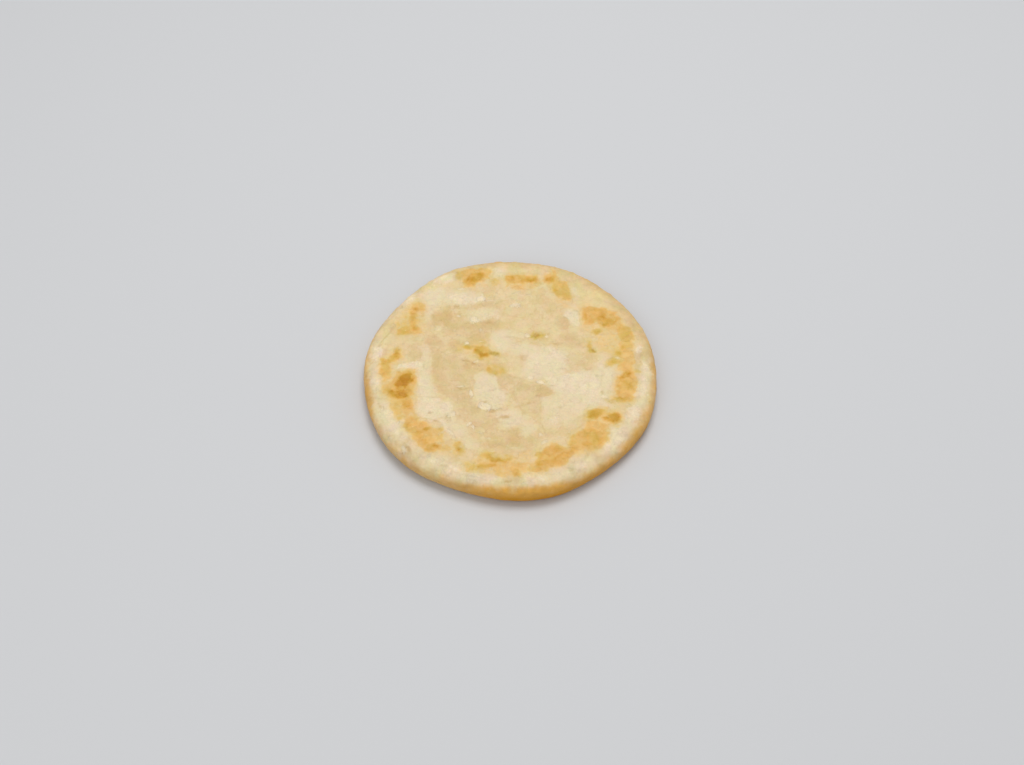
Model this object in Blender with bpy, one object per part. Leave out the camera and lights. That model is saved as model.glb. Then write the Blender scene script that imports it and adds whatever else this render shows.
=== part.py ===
"""A thick round paratha, the layered griddle bread, lying on its flat underside.

The bread is one body: a plump disc with a rounded rim, a raised ring where it pressed
on the griddle, a lower middle, and a shallow coil left by the rolled-up dough.

The origin is under the middle of the bread, on the surface that it lies on. +Z is up,
-Y is the side nearest the viewer, and a bearing turns from +X towards +Y. Lengths are
in metres.
"""

from math import atan2, cos, exp, hypot, pi, radians, sin, tau

import bmesh
import bpy
from mathutils import Vector, noise

MM = 0.001

# Driving dimensions
DIAMETER = 150 * MM
THICKNESS = 12.5 * MM
RADIUS = DIAMETER / 2

# The section, from the underside round the rim to the middle of the face
RIM_HEIGHT = 0.47 * THICKNESS  # the outermost line of the rim
FOOT_REACH = 0.07 * RADIUS  # the underside curls up over this last stretch
SHOULDER_REACH = 0.10 * RADIUS  # the face rounds down over this last stretch
PLUMPNESS = 2.3  # exponent of the rounding: 2 is an ellipse, more is squarer
CREST_HEIGHT = 0.97 * THICKNESS
MIDDLE_HEIGHT = 0.87 * THICKNESS
CREST_PLACE = 0.77  # share of the radius where the toasted ring is highest
CREST_SPREAD = 0.20

# The outline's unevenness: waves round the edge, their height, bearing of a crest
OUTLINE_LOBES = (
    (3, 0.28 * MM, radians(-36)),
    (4, 0.27 * MM, radians(15)),
    (5, 0.16 * MM, radians(-9)),
    (6, 0.39 * MM, radians(-15)),
    (7, 0.37 * MM, radians(18)),
    (8, 0.14 * MM, radians(21)),
)

# The coil of the dough, and the soft swells of the face
COIL_PITCH = 10.5 * MM
COIL_DEPTH = 0.12 * MM
COIL_MIDDLE = 0.22  # share of the radius inside which the coil is pressed flat
SWELL_LENGTH = 24 * MM
SWELL_HEIGHT = 0.35 * MM
SWELL_PLACE = Vector((3.1, 7.4, 1.7))  # where the noise field is read

# Fineness of the solid
COLUMNS = 96
EDGE_ROWS = 7
FACE_ROWS = 20

# Finish
CRUST_COLOUR = (0.76, 0.56, 0.29, 1.0)
CRUST_ROUGHNESS = 0.55
SAME_POINT = 0.001 * MM


def face_height(share):
    """Height of the upper face before its rim rounds down, at a share of the radius."""
    rise = exp(-(((share - CREST_PLACE) / CREST_SPREAD) ** 2))
    return MIDDLE_HEIGHT + (CREST_HEIGHT - MIDDLE_HEIGHT) * rise


def edge_curve(rows):
    """(outward, upright) shares along the quarter turn of the rim, flat part first."""
    power = 2 / PLUMPNESS
    turns = [pi / 2 * row / rows for row in range(rows + 1)]
    return [(sin(a) ** power, max(cos(a), 0.0) ** power) for a in turns]


def section():
    """The half section as (radius, height), from the foot's edge to the top's middle."""
    foot = [
        (RADIUS - FOOT_REACH * (1 - out), RIM_HEIGHT * (1 - upright))
        for out, upright in edge_curve(EDGE_ROWS)
    ]
    shoulder = []
    for out, upright in reversed(edge_curve(EDGE_ROWS)[:-1]):
        radius = RADIUS - SHOULDER_REACH * (1 - out)
        above_rim = face_height(radius / RADIUS) - RIM_HEIGHT
        shoulder.append((radius, RIM_HEIGHT + above_rim * upright))
    flat_radius = RADIUS - SHOULDER_REACH
    steps = [1 - row / FACE_ROWS for row in range(1, FACE_ROWS + 1)]
    face = [(flat_radius * s, face_height(flat_radius * s / RADIUS)) for s in steps]
    return foot + shoulder + face


def spin_section(body):
    """Turns the half section once round the upright axis, into an open shell."""
    points = [body.verts.new((radius, 0, height)) for radius, height in section()]
    edges = [body.edges.new(pair) for pair in zip(points, points[1:])]
    bmesh.ops.spin(
        body, geom=points + edges, axis=(0, 0, 1), cent=(0, 0, 0), angle=tau, steps=COLUMNS
    )
    bmesh.ops.remove_doubles(body, verts=body.verts, dist=SAME_POINT)


def close_underside(body):
    """Fills the shell's open foot with one flat face."""
    rim = [edge for edge in body.edges if edge.is_boundary]
    bmesh.ops.edgeloop_fill(body, edges=rim)
    bmesh.ops.recalc_face_normals(body, faces=body.faces)


def outline_stretch(bearing):
    """How much further out than a true circle the edge lies at a bearing."""
    waves = sum(h * cos(n * (bearing - crest)) for n, h, crest in OUTLINE_LOBES)
    return 1 + waves / RADIUS


def coil_height(radius, bearing):
    """The coil's shallow ridges, which fade out in the middle and at the shoulder."""
    share = radius / RADIUS
    fade_in = min(max((share - COIL_MIDDLE) / COIL_MIDDLE, 0), 1)
    fade_out = min(max((1 - share) * RADIUS / SHOULDER_REACH, 0), 1)
    turn = radius / COIL_PITCH - bearing / tau
    return COIL_DEPTH * cos(tau * turn) * fade_in * fade_out


def swell_height(place):
    """The soft unevenness of a face that was pressed out by hand."""
    return SWELL_HEIGHT * noise.noise(place / SWELL_LENGTH + SWELL_PLACE)


def shape_by_hand(body):
    """Gives the turned body its uneven outline, coil and swells; the foot stays flat."""
    for point in body.verts:
        radius, bearing = hypot(point.co.x, point.co.y), atan2(point.co.y, point.co.x)
        level = Vector((point.co.x, point.co.y, 0))
        share_up = point.co.z / THICKNESS
        point.co.z += share_up * (coil_height(radius, bearing) + swell_height(level))
        point.co.xy *= outline_stretch(bearing)


def settle(body):
    """Centres the bread over the origin and makes its highest point the thickness."""
    xs = [point.co.x for point in body.verts]
    ys = [point.co.y for point in body.verts]
    middle = Vector((min(xs) + max(xs), min(ys) + max(ys), 0)) / 2
    stretch = THICKNESS / max(point.co.z for point in body.verts)
    for point in body.verts:
        point.co -= middle
        point.co.z *= stretch


def crust_material():
    """The bread's pale gold crust."""
    material = bpy.data.materials.new("paratha_crust")
    material.use_nodes = True
    shader = material.node_tree.nodes["Principled BSDF"]
    shader.inputs["Base Color"].default_value = CRUST_COLOUR
    shader.inputs["Roughness"].default_value = CRUST_ROUGHNESS
    shader.inputs["Metallic"].default_value = 0.0
    return material


def make_paratha():
    """The whole bread as one closed body."""
    body = bmesh.new()
    spin_section(body)
    close_underside(body)
    shape_by_hand(body)
    settle(body)
    mesh = bpy.data.meshes.new("paratha")
    body.to_mesh(mesh)
    body.free()
    mesh.shade_smooth()
    mesh.materials.append(crust_material())
    paratha = bpy.data.objects.new("paratha", mesh)
    bpy.context.scene.collection.objects.link(paratha)
    return paratha


for old in list(bpy.data.objects):
    bpy.data.objects.remove(old)
make_paratha()
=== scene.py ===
"""The looks of a paratha, a thick round layered bread baked on a griddle.

The bread lies on its flat underside with its middle over the origin. +Z is up, -Y is the side
nearest the viewer, and a bearing turns from +X towards +Y. Lengths are in millimetres up to the
moment a mesh is written, which is in metres.
"""

import logging
from dataclasses import dataclass, field
from enum import Enum
from itertools import product
from math import radians, tau
from typing import Any, Sequence

import bpy
import numpy as np
from bpy.types import Material, Mesh, Node, NodeSocket, Object
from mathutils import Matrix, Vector, noise

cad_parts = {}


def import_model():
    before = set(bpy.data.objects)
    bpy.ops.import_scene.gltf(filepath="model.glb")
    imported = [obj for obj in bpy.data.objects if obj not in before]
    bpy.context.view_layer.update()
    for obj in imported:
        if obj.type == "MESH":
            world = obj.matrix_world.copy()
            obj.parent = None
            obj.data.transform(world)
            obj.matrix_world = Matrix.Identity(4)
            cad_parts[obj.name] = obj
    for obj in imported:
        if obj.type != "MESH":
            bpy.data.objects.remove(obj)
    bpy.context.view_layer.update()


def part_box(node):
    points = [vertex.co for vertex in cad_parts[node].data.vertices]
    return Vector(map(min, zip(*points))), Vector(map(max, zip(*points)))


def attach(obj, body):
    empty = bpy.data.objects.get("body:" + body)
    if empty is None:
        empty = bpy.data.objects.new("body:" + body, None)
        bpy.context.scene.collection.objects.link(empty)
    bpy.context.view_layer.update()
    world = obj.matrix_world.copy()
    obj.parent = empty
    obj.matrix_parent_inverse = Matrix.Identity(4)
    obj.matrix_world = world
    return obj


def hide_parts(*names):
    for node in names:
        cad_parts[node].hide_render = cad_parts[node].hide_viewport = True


Array = np.ndarray

MM = 0.001
NODE = "paratha"
BODY = "root"
BAKE_MAP = "OFBake"
NEARBY = 6.0  # how far outside an outline a place still counts as near it

log = logging.getLogger("paratha")


# ----- Small helpers -----


@dataclass(frozen=True)
class Tint:
    """A colour as the eye reads it, 0 to 255 a channel."""

    red: float
    green: float
    blue: float

    def linear(self) -> tuple[float, ...]:
        """The colour as a shader wants it."""
        shares = [channel / 255 for channel in (self.red, self.green, self.blue)]
        return (*[s / 12.92 if s <= 0.04045 else ((s + 0.055) / 1.055) ** 2.4 for s in shares], 1.0)


def ease(values: Array, start: float, end: float) -> Array:
    """Rises softly from 0 at start to 1 at end, or falls where end is the smaller."""
    share = np.clip((values - start) / (end - start), 0.0, 1.0)
    return share * share * (3 - 2 * share)


def across_plan(points: Array) -> Array:
    """The points laid flat, so that a pattern doesn't change with height."""
    return np.column_stack([points[:, :2], np.zeros(len(points))])


def reach_of(points: Array) -> Array:
    """How far out from the bread's middle each point lies, seen from above."""
    return np.hypot(points[:, 0], points[:, 1])


def bearing_of(points: Array) -> Array:
    """The bearing of each point round the bread's middle."""
    return np.arctan2(points[:, 1], points[:, 0])


def heading_of(points: Array) -> Array:
    """The way from the bread's middle to each point on the plan, as a step of 1."""
    bearing = bearing_of(points)
    return np.column_stack([np.cos(bearing), np.sin(bearing)])


def gap_to_line(places: Array, start: Array, end: Array) -> Array:
    """Measures how far some places of the plan are from a straight line.

    Args:
        places: x and y of each.
        start: where the line starts.
        end: where it ends.

    Returns:
        The distance of each place.
    """
    side = end - start
    along = np.clip(((places - start) @ side) / (side @ side), 0, 1)
    return np.linalg.norm(places - start - along[:, None] * side, axis=1)


def put(name: str, data: Any) -> Object:
    """Puts a new object into the scene.

    Args:
        name: its name.
        data: what it shows, such as a mesh.

    Returns:
        The object.
    """
    made = bpy.data.objects.new(name, data)
    bpy.context.scene.collection.objects.link(made)
    return made


class DoughNoise:
    """Smooth, seeded unevenness that can be read at any point of the dough.

    A plain number added to the points reads another part of it, so that no two patterns match.
    """

    def __init__(self, seed: int) -> None:
        """Draws the slopes and the order in which space picks them.

        Args:
            seed: picks one unevenness out of many.
        """
        draw = np.random.default_rng(seed)
        self._order = np.tile(draw.permutation(256), 3)
        slopes = draw.normal(size=(256, 3))
        self._slopes = slopes / np.linalg.norm(slopes, axis=1, keepdims=True)
        self._shares = draw.random((256, 3))

    def _pick(self, cell: Array) -> Array:
        """The number, 0 to 255, that a cell of space draws."""
        x, y, z = (cell & 255).T
        return self._order[self._order[self._order[x] + y] + z]

    def smooth(self, points: Array, length: float) -> Array:
        """Rolling unevenness, about -1 to 1.

        Args:
            points: where it is read, one row each.
            length: how far apart the swells are.

        Returns:
            One height for each point.
        """
        place = points / length
        cell = np.floor(place).astype(int)
        inside = place - cell
        fade = inside**3 * (inside * (inside * 6 - 15) + 10)
        total = np.zeros(len(points))
        for corner in product((0, 1), repeat=3):
            step = np.array(corner)
            rise = ((inside - step) * self._slopes[self._pick(cell + step)]).sum(axis=1)
            total += np.where(step, fade, 1 - fade).prod(axis=1) * rise
        return total * 1.7

    def layered(self, points: Array, length: float, layers: int, keep: float) -> Array:
        """Swells with ever smaller swells on them, about -1 to 1.

        Args:
            points: where it is read.
            length: how far apart the largest swells are.
            layers: how many sizes of swell there are, each half the last.
            keep: how high each size is, as a share of the last.

        Returns:
            One height for each point.
        """
        total = np.zeros(len(points))
        whole = 0.0
        for layer in range(layers):
            share = keep**layer
            total += share * self.smooth(points + 37.0 * layer, length / 2**layer)
            whole += share
        return total / whole**0.5

    def scraps(self, points: Array, length: float) -> tuple[Array, Array]:
        """Splits space into angular scraps, as torn layers split.

        Args:
            points: where it is read.
            length: about how wide a scrap is.

        Returns:
            The middle of each point's scrap, and the scrap's own share from 0 to 1.
        """
        place = points / length
        cell = np.floor(place).astype(int)
        nearest = np.full(len(points), np.inf)
        middle, own = place.copy(), np.zeros(len(points))
        for corner in product((-1, 0, 1), repeat=3):
            there = cell + np.array(corner)
            number = self._pick(there)
            seed = there + 0.1 + 0.8 * self._shares[number]
            gap = np.linalg.norm(seed - place, axis=1)
            closer = gap < nearest
            nearest = np.where(closer, gap, nearest)
            middle = np.where(closer[:, None], seed, middle)
            own = np.where(closer, self._shares[number, 0], own)
        return middle * length, own


# ----- The marks that the griddle and the layers left on the face -----


class MarkKind(Enum):
    """What a mark on the face is, by the name of the layer that shows it."""

    TOAST = "toast"
    PANE = "pane"  # moist and a little sunken
    TAN = "tan"
    MILK = "milk"
    # some of the small, brightest floury marks are painted highlights
    FLOUR = "flour"  # a floury flake
    CREAM = "cream"
    # a hollow is sunk in the relief and has painted shade in its colour
    HOLLOW = "hollow"  # a small one, where a scrap of a layer is gone


@dataclass(frozen=True)
class Patch:
    """One oval patch on the face, in millimetres from the bread's middle.

    x and y are its middle, along and across are half its length and width, depth is how strong it
    is, lean is its hue, 1 for olive and -1 for orange, and turn is the bearing of its length.
    """

    x: float
    y: float
    along: float
    across: float
    depth: float
    lean: float = 0.0
    turn: float = 0.0

    def inward(self, places: Array) -> Array:
        """Measures how far inside the patch's edge some places of the plan are.

        Args:
            places: x, y and any height of each.

        Returns:
            One distance for each place, below 0 outside the edge.
        """
        offset = places[:, :2] - (self.x, self.y)
        c, s = np.cos(radians(self.turn)), np.sin(radians(self.turn))
        u = (offset[:, 0] * c + offset[:, 1] * s) / self.along
        v = (offset[:, 1] * c - offset[:, 0] * s) / self.across
        return (1 - np.hypot(u, v)) * min(self.along, self.across)


@dataclass(frozen=True)
class Scrap:
    """One angular patch, by the x and y of each of its corners, with a patch's depth and lean."""

    depth: float
    lean: float
    corners: tuple[float, ...]

    def inward(self, places: Array) -> Array:
        """Measures how far inside the scrap's edge some places of the plan are.

        Args:
            places: x, y and any height of each.

        Returns:
            One distance for each place, below 0 outside the edge.
        """
        corners = np.array(self.corners, dtype=float).reshape(-1, 2)
        low, high = corners.min(axis=0) - NEARBY, corners.max(axis=0) + NEARBY
        near = np.flatnonzero(((places[:, :2] > low) & (places[:, :2] < high)).all(axis=1))
        here = places[near, :2]
        gap = np.full(len(near), NEARBY)
        inside = np.zeros(len(near), dtype=bool)
        for start, end in zip(corners, np.roll(corners, -1, axis=0)):
            gap = np.minimum(gap, gap_to_line(here, start, end))
            side = end - start
            if side[1] != 0:
                crosses = (start[1] > here[:, 1]) != (end[1] > here[:, 1])
                meets = start[0] + (here[:, 1] - start[1]) * side[0] / side[1]
                inside ^= crosses & (here[:, 0] < meets)
        depths = np.full(len(places), -NEARBY)
        depths[near] = np.where(inside, gap, -gap)
        return depths


Mark = Patch | Scrap
MARKS: dict[MarkKind, tuple[Mark, ...]] = {}


def read_marks(*rows: tuple[Any, ...]) -> tuple[Mark, ...]:
    """Reads a list of marks that were placed one by one.

    Args:
        rows: a scrap's row has three entries, its depth, its lean and its corners. A patch's row
            has five to seven: x, y, along, across, depth, and its lean and turn if not 0.

    Returns:
        The marks.
    """
    return tuple(Scrap(*row) if len(row) == 3 else Patch(*row) for row in rows)


# Clockwise from the far left of the ring, as the viewer sees it
MARKS[MarkKind.TOAST] = read_marks(
    # far left, gold with a darker heart
    (0.51, -0.2, (-26, 66, -20, 67, -12, 67, -9.8, 64.5, -11, 60.5, -14.5, 57.5, -18, 55.5, -19.5, 53.5,
     -24.5, 54, -25.5, 59)),
    (0.72, -0.1, (-24, 61, -20, 64, -13.5, 64.5, -12.5, 61.5, -17, 57, -20, 55, -24.2, 56)),
    (-20.6, 58.2, 3.2, 2.8, 0.6, -0.1), (-15.6, 61.8, 2.8, 1.8, 0.66, 0.1, 15),
    (-27.6, 62.4, 1.7, 3.6, 0.42, 1), (-19.5, 70.6, 6.5, 1.8, 0.22, -0.6, 8),
    (-8.4, 57.2, 2.2, 3.8, 0.36, 0.4, 15), (-14, 55, 3.4, 1.6, 0.22, -0.8),
    # far middle, a dark bar over a paler one
    (0.6, 0, (-2.2, 60.8, 0.6, 62, 7, 61.6, 13.4, 61, 14.9, 59, 14.4, 56.4, 8, 55.8, 1.6, 56, -1.6, 57)),
    (0.6, 59.6, 1.8, 1.6, 0.66, 0.1),
    (0.69, 0.1, (5.4, 59.8, 8.6, 60.3, 13.8, 60.3, 14, 57.3, 9, 56.5, 6.6, 57.6)),
    (11.2, 58.4, 2.4, 1.4, 0.76, 0.5), (14, 58.6, 1.2, 1.8, 0.5, 1), (3.6, 57.4, 2.4, 0.8, 0.46, -0.3),
    (0.36, -0.5, (-1.8, 56.8, 5, 55.8, 14.8, 56, 13.6, 53, 8, 51.8, 2, 52.4, -1.8, 54)),
    (2.8, 63.2, 5.4, 1.2, 0.24, 0.6),
    # far right, a dot and the gold patch under it
    (0.5, -0.2, (17.8, 57.2, 18.8, 61.4, 21.8, 63.8, 24.4, 65.8, 25.6, 62, 26, 58.4, 23.6, 56.2,
     19.4, 56.2)),
    (0.8, 0.2, (18.8, 58.6, 19.6, 61, 22.4, 62, 24.6, 60.4, 24, 57.8, 20.6, 57)),
    (23.6, 63.4, 1.2, 2.4, 0.46, -0.8, 10),
    (0.5, 0.3, (22.6, 57.4, 26.5, 58.6, 30.4, 57, 31.4, 53.5, 32, 50, 33, 46.5, 31.4, 43.8, 28, 44.2,
     25, 46.6, 22.5, 49.8, 22, 53.5)),
    (24.2, 51.8, 1.7, 1.6, 0.76, 0.7), (29.8, 47.6, 2.9, 2.2, 0.48, 0.3, -50),
    (27.2, 55.6, 2.2, 1.6, 0.42, 0.2), (27.4, 43, 5, 1.5, 0.24, -0.7, -33),
    # right, the broad orange patch
    (0.56, -0.35, (38, 39.2, 42, 40.6, 46, 39.4, 51.5, 38.4, 55, 36, 57, 32.5, 55.5, 28.6, 51.5, 26.2,
     47.8, 27, 44.8, 29, 41.5, 27.6, 38.6, 29, 37.9, 33.5)),
    (39.6, 34.4, 1.1, 4.2, 0.7, 0.1), (45.4, 37.2, 4.8, 1.2, 0.62, -0.6, -6),
    (43.2, 34.2, 2.4, 1.9, 0.5, -1), (48, 33, 2.8, 3.4, 0.68, -0.5), (48, 33.6, 1.2, 1.2, 0.76),
    (42.2, 30.2, 2.5, 1.9, 0.62, -0.2),
    (0.44, 0.2, (48, 30, 56, 31, 60, 28, 56, 22.6, 50, 24.4)),
    (0.68, 0.2, (48, 31.4, 54.4, 32, 56, 29.6, 53, 26.6, 49.4, 26, 48, 29)),
    (56.2, 31.2, 1.9, 1.3, 0.52, 0.7, -10),
    # right, the yellow run below it
    (0.56, 0.35, (55.6, 28, 58, 28.6, 61, 27.2, 63.4, 24.5, 63.4, 18.5, 61, 16.2, 57.6, 17.4, 56, 21,
     55.4, 24.5)),
    (59.6, 20.2, 2.2, 2.6, 0.48, 0.5),
    (0.3, -0.2, (44, 29, 52, 26.6, 56, 23, 57, 16, 62, 9, 57, 7, 50, 9, 46, 11, 43, 16, 47, 22, 43, 25)),
    (50.6, 19.4, 3.4, 3.4, 0.16, -1),
    (0.5, 0, (57.5, 17.6, 62.8, 17.6, 63, 11.6, 60.6, 9.6, 57.4, 11.4, 55.4, 14)),
    (58.4, 12.8, 1.5, 2.2, 0.64),
    (0.46, 0.2, (52.8, 10.8, 57, 11.6, 63.2, 10, 63.5, 4.6, 57, 5.4, 54, 7.4)),
    (55.5, 9, 1.7, 1.5, 0.7, 0.8),
    (0.46, 0.35, (49.8, 3.8, 52, 5.2, 57, 5, 61.5, 6.8, 64, 5.2, 63.4, 2, 60, 1.4, 55, 2, 50.6, 1.6)),
    (52, 2.6, 1.6, 1.1, 0.7, 1.3),
    (0.48, -0.4, (56, 2, 58.6, 3.6, 63, 3, 62.2, -2.8, 58, -3.6, 55.2, -1.6)),
    (45, 23.2, 1.6, 1.9, 0.6, 0.9, -20), (41.2, 13.8, 1.2, 2.1, 0.6, 1.1), (42.9, 10.6, 1.4, 1, 0.5, 1),
    # right, the lower brown patch
    (0.54, -0.2, (58.5, -1.5, 61, -1, 63.8, -3.5, 64, -9, 63.2, -14, 62, -19, 60.4, -22.2, 55.6, -22,
     53, -18, 53.2, -13, 54, -9, 55.6, -5.4)),
    (0.77, 0.3, (58.3, -2.8, 60.6, -2.4, 62.3, -4, 61, -6.5, 58.4, -7.2, 56, -8.8, 54.8, -7.2, 56.8, -5)),
    (0.62, 0, (56, -8.8, 59, -7.8, 61.6, -9, 61.8, -13.6, 58.8, -14.6, 57.8, -11)),
    (60.3, -12.4, 1.5, 2, 0.57), (54.5, -12.2, 1.1, 1.9, 0.62), (55.8, -20.2, 2.6, 1, 0.8, 0.8, 4),
    (57.4, -18.4, 3, 3.4, 0.44, -0.6), (64.5, -3, 1.6, 1.4, 0.36, 0.9),
    # near right, two dark spots
    (0.8, 0.4, (38.8, -28.2, 41, -27.2, 45, -27, 47, -28, 45.4, -30.4, 42.6, -32, 40.5, -33, 38.6, -31.8)),
    (42.6, -29.4, 2.8, 1.3, 0.5, 0.3, 10), (40.2, -31.6, 1.3, 1.1, 0.66, 0.3),
    (0.84, 0, (45.6, -31.4, 48.5, -30.8, 50.6, -29.4, 53.8, -29.2, 54.8, -31.4, 53.6, -34.4, 50, -34.7,
     47, -33.4)),
    (51.4, -32.4, 2.6, 1.6, 0.42, -0.3, 8), (48.4, -29.8, 1.8, 0.8, 0.46, -0.4),
    (0.26, 0.2, (37.5, -26, 46, -24.8, 55.4, -27, 56.4, -31, 55, -35.4, 49, -37.4, 38.5, -34.4)),
    (51.6, -36.4, 2.6, 1.6, 0.3, 0.7),
    # near right, the long gold run
    (0.5, -0.1, (38.6, -34, 43, -33.6, 48, -35.6, 48.2, -41.5, 47.4, -46.5, 44.5, -49.4, 40, -51.4,
     36, -52, 33, -50.8, 30, -52.8, 28, -50.5, 29, -46.5, 31.5, -43, 34, -40, 36.6, -37.5)),
    (43.6, -36.2, 3.6, 1.8, 0.32, -0.4),
    (0.56, 0.25, (36, -39, 41, -38.4, 46.8, -39.5, 46.6, -45, 44, -48.8, 40, -49.6, 36, -48.6, 35.6, -44)),
    (43, -45.2, 2.6, 2.8, 0.57, 0.5), (38.2, -48.2, 2.4, 1.9, 0.6, -0.5), (34, -41.8, 1.8, 1.9, 0.61, -0.8),
    (31, -43.7, 1.3, 1.7, 0.46, 1.2), (31, -47.4, 2.2, 1.6, 0.52, 0.4, 30),
    (31.4, -50.6, 2.4, 1.6, 0.68, 0.2, 20),
    (0.55, -0.2, (17, -49.6, 20.5, -47.6, 24.5, -48.4, 27, -50.4, 31.4, -51.4, 31.8, -54, 29, -57,
     26.5, -59.8, 21, -61, 18, -63, 13.6, -64, 10.5, -63, 11, -59.5, 13.4, -56.5, 13.6, -53.2,
     15.8, -51.6)),
    (14.4, -54, 2, 2, 0.5, 1), (18.2, -52.2, 1.7, 2.2, 0.58, -1), (22.2, -51.2, 2.2, 2.3, 0.62, -0.2),
    (0.67, -0.1, (21, -54.2, 26, -52.6, 30.6, -51.8, 29.5, -54.6, 25.5, -57.6, 21.8, -57.8)),
    (0.66, -0.1, (14.6, -57.2, 20.4, -56.4, 24.5, -58.8, 20.6, -60.4, 16.4, -60.4, 12.4, -61.4,
     12, -59.4)),
    (13.9, -62.2, 1.9, 1.4, 0.52), (8.4, -61, 4.2, 3, 0.38, -0.1), (7, -55, 6, 3, 0.26, 0, 20),
    # near middle, pale scorches and a thin streak
    (3, -60, 2.9, 1.7, 0.46, -1, -10), (3, -63.6, 2.3, 2.3, 0.66, 0.5),
    (-11, -55.2, 2.4, 1.6, 0.54, 1, -20), (-3, -62.6, 4.8, 3.8, 0.38, -0.4),
    (0.62, 0.2, (-13.6, -53.8, -11.5, -53.2, -8.8, -54.6, -6.5, -56, -3, -56.6, 0.5, -55.6, 0.4, -57.2,
     -3, -58.4, -7, -58.6, -10.5, -56.8)),
    (-5, -57.5, 2.4, 1.1, 0.84, 0.5, -4), (-8.2, -56.8, 1.5, 1.1, 0.74, 0, -30),
    (0.78, 0.1, (-15, -59.8, -11, -59, -6.5, -58.8, -6.8, -61, -11, -62, -15.5, -61.6)),
    (-18.2, -60.8, 2.7, 1.7, 0.42, 1.1, 10),
    (0.34, -0.1, (-22, -57.5, -16, -56.5, -14, -53, -9, -52, -1, -54, 4, -56, 2, -60, -6, -64, -15, -64,
     -21, -63.5)),
    # near left, the long curved run
    (-26, -48, 1.9, 1.9, 0.5, -0.2), (-25.4, -51.1, 1.2, 1.5, 0.84, 0.5),
    (-23.4, -53.4, 2.6, 1.9, 0.3, 0.6, -60),
    (0.62, 0, (-41.2, -48.8, -37.5, -46.8, -34.5, -48, -34.2, -51, -37, -52.6, -41.5, -52.2)),
    (-37, -49.5, 1.7, 1.6, 0.76),
    (0.42, 0.4, (-34.6, -48.4, -29.5, -48, -28.4, -50, -30, -51.6, -34.8, -51.4)),
    (-31.6, -53, 4.2, 0.9, 0.24, -0.7),
    (0.52, -0.1, (-52, -33, -48, -31.6, -45.5, -32.8, -42.5, -34.2, -40.4, -37, -39, -39.6, -37.4, -42.5,
     -36.5, -45.6, -38, -47.6, -42, -49.6, -45.5, -48, -47.5, -45, -48.6, -41.5, -51, -39, -52.5, -36)),
    (-45.4, -36.2, 3.6, 2.2, 0.48, -1.3, -15), (-50.4, -36.6, 1.6, 2.7, 0.62, 0.2, 10),
    (-41, -38.8, 1.6, 1.6, 0.88), (-44.4, -41.9, 3, 2, 0.64, 0.1, -40),
    (-41.6, -46.6, 2.4, 1.8, 0.6, 0.1, -40),
    (0.42, -0.1, (-41, -37, -36, -38, -33, -42, -32.6, -47, -36.4, -46.6, -39.4, -42)),
    (-34.6, -39.4, 1.6, 1.3, 0.46, 0.9),
    (0.4, 0.1, (-58.4, -20, -55, -20, -48, -27, -46, -32, -50, -33.4, -55.4, -33, -58, -27)),
    # left, from pale gold up to the darkest brown
    (0.52, -0.5, (-57, -4, -52, -1.8, -48.2, -2, -47.8, -8, -48.6, -16, -50, -20, -59.6, -21, -63, -17,
     -64, -12, -60.4, -9)),
    (-54.8, -11.2, 2.8, 1.5, 0.98),
    (0.88, 0.1, (-55.4, -4.6, -52, -3.2, -49.3, -3.8, -49.4, -9, -51, -11.4, -53, -14, -56.4, -12.4,
     -59, -10.8, -57.4, -7.4)),
    (1, 0, (-54.6, -5.2, -51, -4.2, -49.8, -5.8, -50.8, -8.8, -54.5, -9.8, -56.8, -8.8)),
    (0.8, 0.1, (-61, -15, -57, -14.7, -53.5, -14.4, -51, -15.6, -50.2, -20, -54, -20.8, -57.4, -19.2,
     -61, -17.8)),
    (-55.4, -17.6, 5, 2.4, 0.69, 0, -6), (-53.8, -14, 4.2, 2.4, 0.7, -0.2),
    (-59.6, -16.2, 1.8, 1.4, 0.74, 1.1), (-58.2, -12.6, 1.6, 1.3, 0.56, -0.4),
    (0.62, -0.6, (-55, -20.8, -49.5, -20.6, -49, -26.4, -52, -27.8, -54.8, -25)),
    (-51.9, -24, 1.8, 2.4, 0.68, -0.4),
    (0.4, 0.1, (-60.5, -20.6, -55.4, -21, -54.6, -27.4, -52, -30.6, -56, -32.8, -59, -28)),
    # left, the upper fork
    (0.58, 0.2, (-65.8, 0.6, -63, 3.8, -61.2, 1.6, -60.4, -3, -61, -8, -64, -9, -66, -4)),
    (0.68, 0.4, (-66, 4.6, -62.8, 5.2, -60.8, 3.6, -62.6, 1, -65.6, 1.4)),
    (0.66, 0, (-62.4, 5, -60.5, 8.5, -58.6, 11.6, -56.6, 9.6, -56.2, 5.4, -58.5, 3.4, -61, 3.4)),
    (0.8, 0.1, (-60, 7, -58.6, 10.4, -57.1, 9, -57.2, 6, -59, 5.4)),
    (0.28, 0, (-68, 2, -63, 7, -60.6, 13, -56.4, 13.4, -55, 8, -56, 3, -59, 1.4, -60, -8, -62, -12,
     -66, -8, -67.4, -2)),
    # upper left, a mark like a capital I
    (0.5, -0.4, (-52, 42.6, -46, 43, -44.8, 41, -45.2, 37.4, -49, 37, -52.4, 37.8)),
    (-50.1, 38.5, 1.6, 1.5, 0.76), (-47.1, 38.9, 1.5, 1.5, 0.56, 0.2),
    (0.58, 0, (-52.8, 37.4, -49.3, 37, -48.7, 30, -48, 26, -52.8, 26.4, -53.4, 31)),
    (-50.6, 32, 1.2, 3, 0.66, -0.1), (-55, 30.8, 1.7, 5.4, 0.34, 0.4, 6),
    (-47.2, 32.2, 1.5, 4.6, 0.22, -0.8),
    (0.54, 0.2, (-58.4, 25, -54, 26.4, -49, 27.8, -46.4, 25, -46.6, 22.4, -50.4, 22, -55, 21.4,
     -58.4, 21.6)),
    (-49.2, 25.3, 2, 1.5, 0.76), (-56.6, 23, 1.9, 1.8, 0.5, 1.2), (-58.4, 28, 1.1, 1.6, 0.4, 0.3),
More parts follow.
